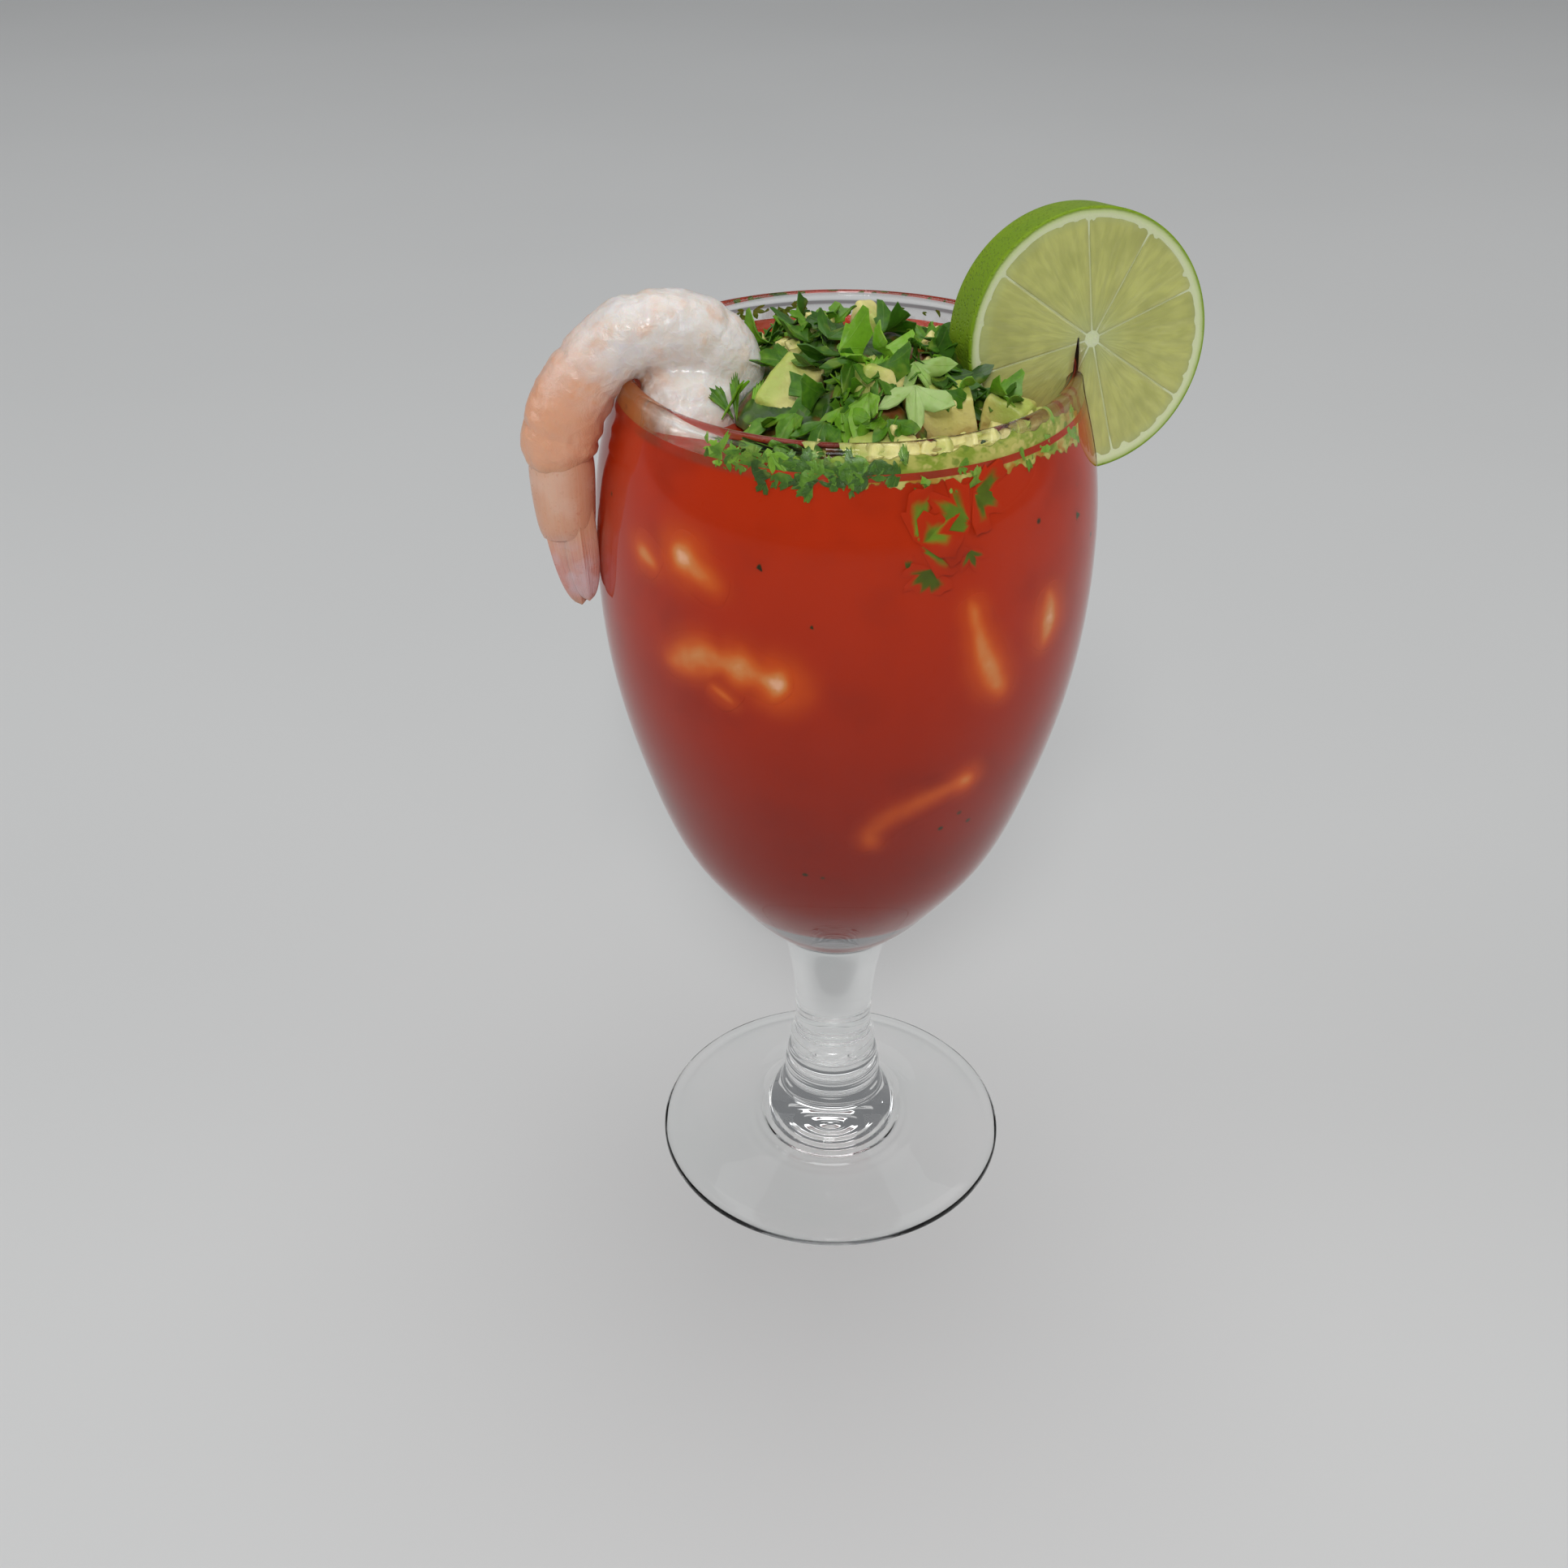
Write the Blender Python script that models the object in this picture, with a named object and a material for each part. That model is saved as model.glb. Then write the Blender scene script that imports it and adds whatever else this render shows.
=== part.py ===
"""Prawn cocktail in a stemmed glass goblet.

The goblet is filled almost to its lip with tomato cocktail sauce. A cooked, tail-on prawn hooks over
the rim, a slit lime wheel sits on the rim across from it, and diced avocado under a heap of chopped
coriander leaf lies on the sauce. Every food piece rests in or on the glass, so nothing moves.

Metres, +Z up. The origin is the centre of the foot's flat underside.
"""

import math

import bmesh
import bpy
from mathutils import Euler, Matrix, Vector

CLEARANCE = 0.0003

# Goblet: outlines are (radius, height) stations that smooth curves pass through.
GOBLET_SIDES = 36
FOOT_OUTSIDE = (
    (0.0366, 0.0000),
    (0.0376, 0.0006),
    (0.0379, 0.0016),
    (0.0372, 0.0027),
    (0.0330, 0.0036),
    (0.0270, 0.0046),
    (0.0215, 0.0058),
    (0.0172, 0.0074),
    (0.0140, 0.0100),
    (0.0118, 0.0135),
    (0.0102, 0.0172),
)
STEM_OUTSIDE = (
    (0.0102, 0.0172),
    (0.0096, 0.0210),
    (0.0096, 0.0235),
    (0.0090, 0.0265),
    (0.0087, 0.0298),
    (0.0083, 0.0334),
    (0.0088, 0.0446),
    (0.0108, 0.0550),
    (0.0122, 0.0590),
)
BOWL_OUTSIDE = (
    (0.0122, 0.0590),
    (0.0162, 0.0625),
    (0.0222, 0.0697),
    (0.0323, 0.0850),
    (0.0395, 0.1050),
    (0.0441, 0.1250),
    (0.0457, 0.1450),
    (0.0446, 0.1630),
    (0.0404, 0.1795),
)
BOWL_INSIDE = (
    (0.0378, 0.1793),
    (0.0391, 0.1765),
    (0.0422, 0.1630),
    (0.0434, 0.1450),
    (0.0418, 0.1250),
    (0.0370, 0.1050),
    (0.0292, 0.0868),
    (0.0212, 0.0760),
    (0.0142, 0.0717),
    (0.0062, 0.0702),
)
BOWL_FLOOR_Z = 0.0700
LIP_CENTRE = (0.0391, 0.1795)
LIP_RADIUS = 0.0014
LIP_CLEARANCE = 0.0004
LIP_ROOM_DEPTH = 0.0300

# Sauce
SAUCE_LEVEL = 0.1750
SAUCE_SWELL = 0.0004

# Prawn: (distance from the goblet's axis, height, half thickness, half width, shift to the front) along its
# back-to-belly middle line, from the sunk neck end over the rim to the tip of the tail. The neck is a fat
# lobe that curls back towards the wall.
PRAWN_BEARING = math.radians(195.0)
PRAWN_SIDES = 14
PRAWN_NECK = (
    (0.0304, 0.1645, 0.0040, 0.0040, 0.0062),
    (0.0301, 0.1675, 0.0070, 0.0068, 0.0062),
    (0.0292, 0.1712, 0.0092, 0.0085, 0.0058),
    (0.0282, 0.1755, 0.0100, 0.0090, 0.0044),
    (0.0274, 0.1798, 0.0094, 0.0081, 0.0024),
    (0.0268, 0.1832, 0.0062, 0.0054, 0.0010),
)
PRAWN_BODY = (
    (0.0240, 0.1690, 0.0036, 0.0036, 0.0020),
    (0.0227, 0.1725, 0.0047, 0.0046, 0.0018),
    (0.0216, 0.1768, 0.0061, 0.0059, 0.0010),
    (0.0224, 0.1816, 0.0073, 0.0071, 0.0),
    (0.0268, 0.1862, 0.0075, 0.0073, 0.0),
    (0.0325, 0.1881, 0.0073, 0.0072, 0.0),
    (0.0383, 0.1876, 0.0069, 0.0070, 0.0),
    (0.0430, 0.1847, 0.0066, 0.0067, 0.0),
    (0.0471, 0.1800, 0.0068, 0.0067, 0.0),
    (0.0500, 0.1745, 0.0071, 0.0068, 0.0),
    (0.0514, 0.1681, 0.0068, 0.0066, 0.0),
)
PRAWN_TAIL = (
    (0.0509, 0.1652, 0.0057, 0.0056, 0.0),
    (0.0509, 0.1600, 0.0054, 0.0054, 0.0),
    (0.0506, 0.1545, 0.0050, 0.0053, 0.0),
    (0.0499, 0.1490, 0.0044, 0.0050, 0.0),
    (0.0490, 0.1435, 0.0034, 0.0040, 0.0),
    (0.0485, 0.1384, 0.0012, 0.0018, 0.0),
)
SEGMENT_PITCH = 0.0098
SEGMENT_DEPTH = 0.035

# Lime wheel
LIME_CENTRE = (0.0409, -0.0034, 0.1857)
LIME_RADIUS = 0.0223
LIME_THICKNESS = 0.0093
LIME_YAW = math.radians(20.1)
LIME_LEAN = math.radians(8.2)
LIME_SIDES = 40
LIME_EDGE = 0.0006

# Avocado dice: (middle, size, turn in degrees about X, Y and Z)
DICE_EDGE = 0.0011
DICE_SKEW = 0.07
DICE = (
    ((-0.0098, -0.0155, 0.1795), (0.0135, 0.0085, 0.0085), (18, -22, 62)),
    ((0.0050, 0.0110, 0.1822), (0.0125, 0.0050, 0.0055), (-10, 24, -48)),
    ((0.0146, 0.0086, 0.1796), (0.0070, 0.0060, 0.0065), (12, -8, 25)),
    ((0.0042, -0.0212, 0.1838), (0.0080, 0.0068, 0.0065), (-14, 18, 20)),
    ((0.0149, -0.0205, 0.1789), (0.0116, 0.0086, 0.0084), (10, -9, 10)),
    ((0.0264, -0.0181, 0.1773), (0.0078, 0.0074, 0.0076), (-8, 12, -24)),
    ((0.0145, 0.0180, 0.1760), (0.0095, 0.0080, 0.0080), (9, 14, 35)),
    ((0.0060, -0.0318, 0.1752), (0.0115, 0.0080, 0.0080), (14, -6, 8)),
    ((0.0176, -0.0293, 0.1740), (0.0088, 0.0078, 0.0080), (-12, 10, 28)),
    ((-0.0055, -0.0018, 0.1778), (0.0110, 0.0095, 0.0085), (8, 12, -15)),
    ((0.0075, -0.0062, 0.1770), (0.0095, 0.0090, 0.0090), (-6, -12, 40)),
)

# Coriander heap
HEAP_MIDDLE = (0.0015, -0.0065)
HEAP_REACH = (0.0235, 0.0270)
HEAP_WALL_REACH = 0.0362
HEAP_BASE_Z = SAUCE_LEVEL + SAUCE_SWELL + CLEARANCE
HEAP_TOP_Z = 0.1895
HEAP_SIDES = 24
HEAP_RINGS = 6

GLASS_COLOUR = (0.92, 0.95, 0.95)
SAUCE_COLOUR = (0.42, 0.045, 0.014)
PRAWN_COLOUR = (0.82, 0.62, 0.53)
LIME_COLOUR = (0.56, 0.60, 0.24)
AVOCADO_COLOUR = (0.72, 0.66, 0.28)
LEAF_COLOUR = (0.07, 0.19, 0.03)


def smooth_path(stations, steps):
    """Points along a Catmull-Rom curve through the stations, which may have any number of values."""
    points = [Vector(station) for station in stations]
    points = [2 * points[0] - points[1]] + points + [2 * points[-1] - points[-2]]
    path = []
    for before, start, end, after in zip(points, points[1:], points[2:], points[3:]):
        for step in range(steps):
            t = step / steps
            path.append(
                0.5
                * (
                    2 * start
                    + (end - before) * t
                    + (2 * before - 5 * start + 4 * end - after) * t * t
                    + (3 * start - before - 3 * end + after) * t * t * t
                )
            )
    return path + [points[-2]]


def arc(centre, radius, start, end, steps):
    """Points (r, z) on an arc, from one angle to another, both in degrees and both included."""
    angles = [math.radians(start + (end - start) * i / steps) for i in range(steps + 1)]
    return [Vector((centre[0] + radius * math.cos(a), centre[1] + radius * math.sin(a))) for a in angles]


def material(name, colour, roughness, metallic=0.0, transmission=0.0):
    made = bpy.data.materials.new(name)
    made.use_nodes = True
    shader = made.node_tree.nodes["Principled BSDF"]
    shader.inputs["Base Color"].default_value = (*colour, 1.0)
    shader.inputs["Roughness"].default_value = roughness
    shader.inputs["Metallic"].default_value = metallic
    shader.inputs["Transmission Weight"].default_value = transmission
    return made


def new_object(name, bm, finish=None):
    """An object from the mesh, with outward faces and smooth shading except at real corners."""
    bmesh.ops.recalc_face_normals(bm, faces=bm.faces)
    mesh = bpy.data.meshes.new(name)
    bm.to_mesh(mesh)
    bm.free()
    mesh.shade_smooth()
    mesh.set_sharp_from_angle(angle=math.radians(38))
    made = bpy.data.objects.new(name, mesh)
    bpy.context.scene.collection.objects.link(made)
    if finish:
        mesh.materials.append(finish)
    return made


def make_cutter(made):
    made.hide_render = True
    made.display_type = "WIRE"
    return made


def combine(target, operation, others):
    """Joins the others to the target, or cuts them out of it, with Booleans that stay on it."""
    for other in others:
        modifier = target.modifiers.new(f"{operation.lower()}_{other.name}", "BOOLEAN")
        modifier.operation = operation
        modifier.object = other


def cut(target, *cutters):
    combine(target, "DIFFERENCE", cutters)


def loft(rings, start_point=None, end_point=None):
    """A closed body through rings of equal length; an end is a point, or the ring filled flat."""
    bm = bmesh.new()
    loops = [[bm.verts.new(point) for point in ring] for ring in rings]
    count = len(loops[0])
    for near, far in zip(loops, loops[1:]):
        for i in range(count):
            j = (i + 1) % count
            bm.faces.new((near[i], near[j], far[j], far[i]))
    for loop, tip in ((loops[0], start_point), (loops[-1], end_point)):
        if tip is None:
            bm.faces.new(loop)
            continue
        pole = bm.verts.new(tip)
        for i in range(count):
            bm.faces.new((loop[i], loop[(i + 1) % count], pole))
    return bm


def turned(profile, sides):
    """A body turned about Z from (radius, height) points, the first and last on the axis."""
    angles = [math.tau * i / sides for i in range(sides)]
    rings = [[(r * math.cos(a), r * math.sin(a), z) for a in angles] for r, z in profile[1:-1]]
    return loft(rings, (0, 0, profile[0][1]), (0, 0, profile[-1][1]))


def bowl_inside(steps):
    return smooth_path(BOWL_INSIDE, steps)


def make_goblet():
    outside = smooth_path(FOOT_OUTSIDE, 1)[:-1]
    outside += smooth_path(STEM_OUTSIDE, 1)[:-1]
    outside += smooth_path(BOWL_OUTSIDE, 2)[:-1]
    lip = arc(LIP_CENTRE, LIP_RADIUS, 0, 180, 4)
    profile = [(0, 0)] + outside + lip + bowl_inside(2) + [(0, BOWL_FLOOR_Z)]
    finish = material("goblet_glass", GLASS_COLOUR, 0.03, transmission=1.0)
    return new_object("goblet", turned(profile, GOBLET_SIDES), finish)


def inside_radius(height):
    """The bowl's inner radius at a height."""
    path = bowl_inside(8)
    for upper, lower in zip(path, path[1:]):
        if lower[1] <= height <= upper[1]:
            share = (height - lower[1]) / (upper[1] - lower[1])
            return lower[0] + (upper[0] - lower[0]) * share
    raise ValueError(f"no wall at height {height}")


def make_sauce():
    wall = [point for point in bowl_inside(2) if point[1] < SAUCE_LEVEL - 0.001]
    side = [(point[0] - CLEARANCE, point[1] + CLEARANCE * 0.5) for point in wall]
    rim = inside_radius(SAUCE_LEVEL) - CLEARANCE
    surface = [(rim * share, SAUCE_LEVEL + SAUCE_SWELL * (1 - share)) for share in (0.5, 0.8, 1.0)]
    profile = [(0, SAUCE_LEVEL + SAUCE_SWELL)] + surface + side + [(0, BOWL_FLOOR_Z + CLEARANCE)]
    return new_object("cocktail_sauce", turned(profile, GOBLET_SIDES), material("sauce", SAUCE_COLOUR, 0.3))


def prawn_rings(stations, steps, growth, grooved):
    """Rings across the prawn. Grooves mark the joints between its segments, deepest on the back."""
    path = smooth_path(stations, steps)
    outward = Vector((math.cos(PRAWN_BEARING), math.sin(PRAWN_BEARING), 0))
    side = Vector((-outward.y, outward.x, 0))
    rings = []
    travelled = 0.0
    for i, point in enumerate(path):
        ahead = path[min(i + 1, len(path) - 1)]
        behind = path[max(i - 1, 0)]
        along = Vector((ahead[0] - behind[0], ahead[1] - behind[1])).normalized()
        if i:
            travelled += (Vector(point[:2]) - Vector(path[i - 1][:2])).length
        back = outward * -along[1] + Vector((0, 0, along[0]))
        middle = outward * point[0] + side * point[4] + Vector((0, 0, point[1]))
        pinch = SEGMENT_DEPTH * (math.cos(math.tau * travelled / SEGMENT_PITCH) ** 8) if grooved else 0.0
        ring = []
        for k in range(PRAWN_SIDES):
            turn = math.tau * k / PRAWN_SIDES
            fullness = 1 - pinch * (0.6 + 0.4 * math.cos(turn))
            thick = (point[2] * fullness + growth) * math.cos(turn)
            wide = (point[3] * fullness + growth) * math.sin(turn)
            ring.append(middle + back * thick + side * wide)
        rings.append(ring)
    return rings


def make_prawn_shape(name, growth):
    """The prawn without the dent that the lip makes: the body with the neck lobe joined on."""
    rings = prawn_rings(PRAWN_BODY, 2, growth, True) + prawn_rings(PRAWN_TAIL, 1, growth, False)
    shape = new_object(name, loft(rings), material("prawn_flesh", PRAWN_COLOUR, 0.35))
    neck = make_cutter(new_object(name + "_neck", loft(prawn_rings(PRAWN_NECK, 2, growth, False))))
    combine(shape, "UNION", [neck])
    return shape


def make_prawn(lip_room):
    """The prawn, its belly dented where it hangs on the lip."""
    cut(make_prawn_shape("rim_prawn", 0.0), lip_room)


def lime_frame():
    """The lime wheel's axes at the middle of its front face: across, up the face, and out of it."""
    turn = Matrix.Rotation(LIME_YAW, 4, "Z") @ Matrix.Rotation(-LIME_LEAN, 4, "X")
    return Matrix.Translation(LIME_CENTRE) @ turn


def lime_disc(growth):
    """The wheel as a turned disc, its front face towards local -Y."""
    reach = LIME_RADIUS + growth
    front = -growth
    back = LIME_THICKNESS + growth
    profile = [(0, front), (reach * 0.5, front), (reach - LIME_EDGE, front), (reach, front + LIME_EDGE)]
    profile += [(reach, back - LIME_EDGE), (reach - LIME_EDGE, back), (reach * 0.5, back), (0, back)]
    bm = turned(profile, LIME_SIDES)
    upright = Matrix.Rotation(math.radians(-90), 4, "X")
    bmesh.ops.transform(bm, matrix=lime_frame() @ upright, verts=bm.verts)
    return bm


def wall_band():
    """The upper bowl wall made thicker on both sides: the room that the prawn and the lime leave for it."""
    lowest = LIP_CENTRE[1] - LIP_ROOM_DEPTH
    outer = [p for p in smooth_path(BOWL_OUTSIDE, 2) if p[1] > lowest]
    inner = [p for p in bowl_inside(2) if p[1] > lowest]
    right = [(p[0] + LIP_CLEARANCE, p[1]) for p in outer[:-1]]
    left = [(p[0] - LIP_CLEARANCE, p[1]) for p in inner]
    top = arc(LIP_CENTRE, LIP_RADIUS + LIP_CLEARANCE, 0, 180, 6)
    profile = right + top + left
    angles = [math.tau * i / GOBLET_SIDES for i in range(GOBLET_SIDES)]
    bm = bmesh.new()
    loops = [[bm.verts.new((r * math.cos(a), r * math.sin(a), z)) for a in angles] for r, z in profile]
    for near, far in zip(loops, loops[1:] + loops[:1]):
        for i in range(GOBLET_SIDES):
            j = (i + 1) % GOBLET_SIDES
            bm.faces.new((near[i], near[j], far[j], far[i]))
    return bm


def make_lime(lip_room):
    """The lime wheel, slit where it sits on the lip."""
    lime = new_object("lime_wheel", lime_disc(0.0), material("lime_flesh", LIME_COLOUR, 0.3))
    cut(lime, lip_room)


def dice_block(index, growth):
    """One hand-cut avocado cube: its corners are pushed about a little, and its edges are soft."""
    middle, size, turn = DICE[index]
    bm = bmesh.new()
    bmesh.ops.create_cube(bm, size=1.0)
    for i, vert in enumerate(bm.verts):
        phase = 1.7 * index + 2.3 * i
        skew = Vector((math.sin(phase), math.sin(1.9 * phase + 1), math.sin(2.7 * phase + 2)))
        vert.co = Vector([(c + DICE_SKEW * s) * d for c, s, d in zip(vert.co, skew, size)])
        vert.co += Vector([math.copysign(growth, c) for c in vert.co])
    bmesh.ops.bevel(bm, geom=bm.edges, offset=DICE_EDGE, segments=1, profile=0.5, affect="EDGES")
    place = Matrix.Translation(middle) @ Euler([math.radians(a) for a in turn]).to_matrix().to_4x4()
    bmesh.ops.transform(bm, matrix=place, verts=bm.verts)
    return bm


def make_dice():
    finish = material("avocado_flesh", AVOCADO_COLOUR, 0.45)
    return [new_object(f"avocado_{i + 1:02d}", dice_block(i, 0.0), finish) for i in range(len(DICE))]


def heap_reach(turn):
    """How far the heap spreads that way: lobes of leaf make its edge uneven."""
    lobes = 1 + 0.09 * math.sin(3 * turn + 0.6) + 0.06 * math.sin(5 * turn + 2.0) + 0.04 * math.sin(9 * turn)
    reach = Vector((HEAP_REACH[0] * math.cos(turn), HEAP_REACH[1] * math.sin(turn))) * lobes
    distance = (Vector(HEAP_MIDDLE) + reach).length
    return reach * min(1.0, HEAP_WALL_REACH / distance)


def heap_height(share, turn):
    """The heap's height at a share of its reach, over its base: a dome with clumps."""
    dome = (1 - share**2.2) ** 0.8
    clumps = 0.16 * math.sin(3 * turn + 4 * share) + 0.14 * math.sin(5 * turn - 7 * share)
    return (HEAP_TOP_Z - HEAP_BASE_Z) * dome * (1 + clumps * share)


def make_heap(cutters):
    rings = []
    for step in range(HEAP_RINGS, 0, -1):
        share = step / HEAP_RINGS
        ring = []
        for i in range(HEAP_SIDES):
            turn = math.tau * i / HEAP_SIDES
            reach_x, reach_y = heap_reach(turn)
            lift = 0.0008 if step == HEAP_RINGS else heap_height(share, turn)
            ring.append(
                (HEAP_MIDDLE[0] + reach_x * share, HEAP_MIDDLE[1] + reach_y * share, HEAP_BASE_Z + lift)
            )
        rings.append(ring)
    base = [(x, y, HEAP_BASE_Z) for x, y, _ in rings[0]]
    bm = loft([base] + rings, (*HEAP_MIDDLE, HEAP_BASE_Z), (*HEAP_MIDDLE, HEAP_TOP_Z))
    heap = new_object("coriander_heap", bm, material("coriander_leaf", LEAF_COLOUR, 0.5))
    cut(heap, *cutters)
    return heap


def main():
    for old in list(bpy.data.objects):
        bpy.data.objects.remove(old)
    make_goblet()
    sauce = make_sauce()
    lip_room = make_cutter(new_object("lip_room", wall_band()))
    make_prawn(lip_room)
    make_lime(lip_room)
    make_dice()
    prawn_room = make_cutter(make_prawn_shape("prawn_room", CLEARANCE))
    lime_room = make_cutter(new_object("lime_room", lime_disc(CLEARANCE)))
    dice_rooms = [
        make_cutter(new_object(f"avocado_room_{i + 1:02d}", dice_block(i, CLEARANCE))) for i in range(len(DICE))
    ]
    cut(sauce, prawn_room, lime_room, *dice_rooms)
    make_heap([prawn_room, lime_room, *dice_rooms])


main()
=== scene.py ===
"""Prawn cocktail in a stemmed goblet: the finish of every piece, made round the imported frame.

Each piece is one operator, listed in the sidebar panel "Prawn cocktail". Lengths are in metres, +Z is up,
and the origin is the centre of the goblet foot's underside.
"""

import math
from contextlib import contextmanager

import bpy
import numpy as np
from bpy.props import FloatProperty, FloatVectorProperty, IntProperty, PointerProperty
from mathutils import Euler, Matrix, Vector, noise


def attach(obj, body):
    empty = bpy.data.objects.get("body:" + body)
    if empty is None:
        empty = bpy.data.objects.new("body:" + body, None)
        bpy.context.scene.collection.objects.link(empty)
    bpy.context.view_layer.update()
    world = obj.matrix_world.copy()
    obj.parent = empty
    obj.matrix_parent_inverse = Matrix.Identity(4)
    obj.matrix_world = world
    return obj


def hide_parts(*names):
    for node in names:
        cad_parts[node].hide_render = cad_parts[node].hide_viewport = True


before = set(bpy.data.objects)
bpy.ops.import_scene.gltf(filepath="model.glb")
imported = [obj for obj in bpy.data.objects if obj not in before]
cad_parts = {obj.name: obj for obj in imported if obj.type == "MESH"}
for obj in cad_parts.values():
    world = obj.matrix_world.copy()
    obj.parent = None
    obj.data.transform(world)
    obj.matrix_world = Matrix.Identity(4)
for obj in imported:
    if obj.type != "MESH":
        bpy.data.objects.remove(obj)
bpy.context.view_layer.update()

bl_info = {
    "name": "Prawn cocktail",
    "version": (1, 0, 0),
    "blender": (4, 5, 0),
    "location": "View3D > Sidebar > Prawn cocktail",
    "description": "Models and finishes a prawn cocktail in its stemmed glass goblet",
    "category": "Add Mesh",
}

DICE_NODES = sorted(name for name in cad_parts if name.startswith("avocado_"))

# Goblet: outlines are (radius, height) stations that smooth curves pass through.
FOOT_OUTSIDE = (
    (0.0366, 0.0000),
    (0.0376, 0.0006),
    (0.0379, 0.0016),
    (0.0372, 0.0027),
    (0.0330, 0.0036),
    (0.0270, 0.0046),
    (0.0222, 0.0056),
    (0.0200, 0.0063),
    (0.0172, 0.0074),
    (0.0148, 0.0092),
    (0.0128, 0.0118),
    (0.0113, 0.0145),
)
STEM_OUTSIDE = (
    (0.0113, 0.0145),
    (0.0107, 0.0168),
    (0.0103, 0.0180),
    (0.0105, 0.0193),
    (0.0102, 0.0207),
    (0.0097, 0.0216),
    (0.0099, 0.0229),
    (0.0096, 0.0243),
    (0.0091, 0.0253),
    (0.0092, 0.0268),
    (0.0091, 0.0286),
    (0.0087, 0.0297),
    (0.0083, 0.0310),
    (0.0082, 0.0340),
    (0.0084, 0.0400),
    (0.0090, 0.0465),
    (0.0103, 0.0535),
    (0.0122, 0.0590),
)
BOWL_OUTSIDE = (
    (0.0122, 0.0590),
    (0.0162, 0.0625),
    (0.0222, 0.0697),
    (0.0323, 0.0850),
    (0.0395, 0.1050),
    (0.0441, 0.1250),
    (0.0457, 0.1450),
    (0.0446, 0.1630),
    (0.0404, 0.1795),
)
BOWL_INSIDE = (
    (0.0378, 0.1793),
    (0.0391, 0.1765),
    (0.0422, 0.1630),
    (0.0434, 0.1450),
    (0.0418, 0.1250),
    (0.0370, 0.1050),
    (0.0292, 0.0868),
    (0.0212, 0.0760),
    (0.0142, 0.0717),
    (0.0062, 0.0702),
)
BOWL_FLOOR_Z = 0.0700

# The foot's lowest point, the reach of the mould's rings under it, and the bowl's greatest radius.
FOOT_LOWEST_Z = 0.00005
MOULD_REACH = 0.0205
BOWL_WIDEST = 0.04568

# The lip is a half round; what sits on it is cut to this clearance and down to this depth.
LIP_CENTRE = (0.0391, 0.1795)
LIP_RADIUS = 0.0014
LIP_CLEARANCE = 0.0003
LIP_ROOM_DEPTH = 0.0300

# Prawn: each run has (distance from the goblet's axis, height, half thickness, half width, shift to the
# front) along its middle line.
PRAWN_BODY = (
    (0.0240, 0.1690, 0.0036, 0.0036, 0.0020),
    (0.0227, 0.1725, 0.0047, 0.0046, 0.0018),
    (0.0216, 0.1768, 0.0061, 0.0059, 0.0010),
    (0.0224, 0.1816, 0.0073, 0.0071, 0.0),
    (0.0268, 0.1862, 0.0075, 0.0073, 0.0),
    (0.0325, 0.1881, 0.0073, 0.0072, 0.0),
    (0.0383, 0.1876, 0.0069, 0.0070, 0.0),
    (0.0430, 0.1847, 0.0066, 0.0067, 0.0),
    (0.0471, 0.1800, 0.0068, 0.0067, 0.0),
    (0.0500, 0.1745, 0.0071, 0.0068, 0.0),
    (0.0513, 0.1690, 0.0068, 0.0066, 0.0),
    (0.0512, 0.1656, 0.0052, 0.0052, 0.0),
)

# The thick neck end, which hangs in the glass.
PRAWN_NECK = (
    (0.0304, 0.1645, 0.0040, 0.0040, 0.0062),
    (0.0301, 0.1675, 0.0070, 0.0068, 0.0062),
    (0.0292, 0.1712, 0.0092, 0.0085, 0.0058),
    (0.0282, 0.1755, 0.0100, 0.0090, 0.0044),
    (0.0274, 0.1798, 0.0094, 0.0081, 0.0024),
    (0.0268, 0.1832, 0.0062, 0.0054, 0.0010),
)

# A thin fold of flesh that closes the inside of the curl.
PRAWN_WEB = (
    (0.0326, 0.1700, 0.0036, 0.0040, 0.0052),
    (0.0336, 0.1735, 0.0042, 0.0050, 0.0048),
    (0.0336, 0.1775, 0.0040, 0.0052, 0.0034),
    (0.0326, 0.1815, 0.0034, 0.0048, 0.0016),
    (0.0310, 0.1840, 0.0020, 0.0030, 0.0006),
)

# The last segment's shell, and the ends of the tail fan as (distance from the axis, height).
PRAWN_SHELL = (
    (0.0511, 0.1690, 0.0052, 0.0053, 0.0),
    (0.0510, 0.1652, 0.0056, 0.0055, 0.0),
    (0.0509, 0.1600, 0.0054, 0.0053, 0.0),
    (0.0507, 0.1555, 0.0050, 0.0047, 0.0),
    (0.0504, 0.1530, 0.0045, 0.0038, 0.0),
)
TAIL_ROOT = (0.0508, 0.1580)
TAIL_TIP = (0.0487, 0.1388)

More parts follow.
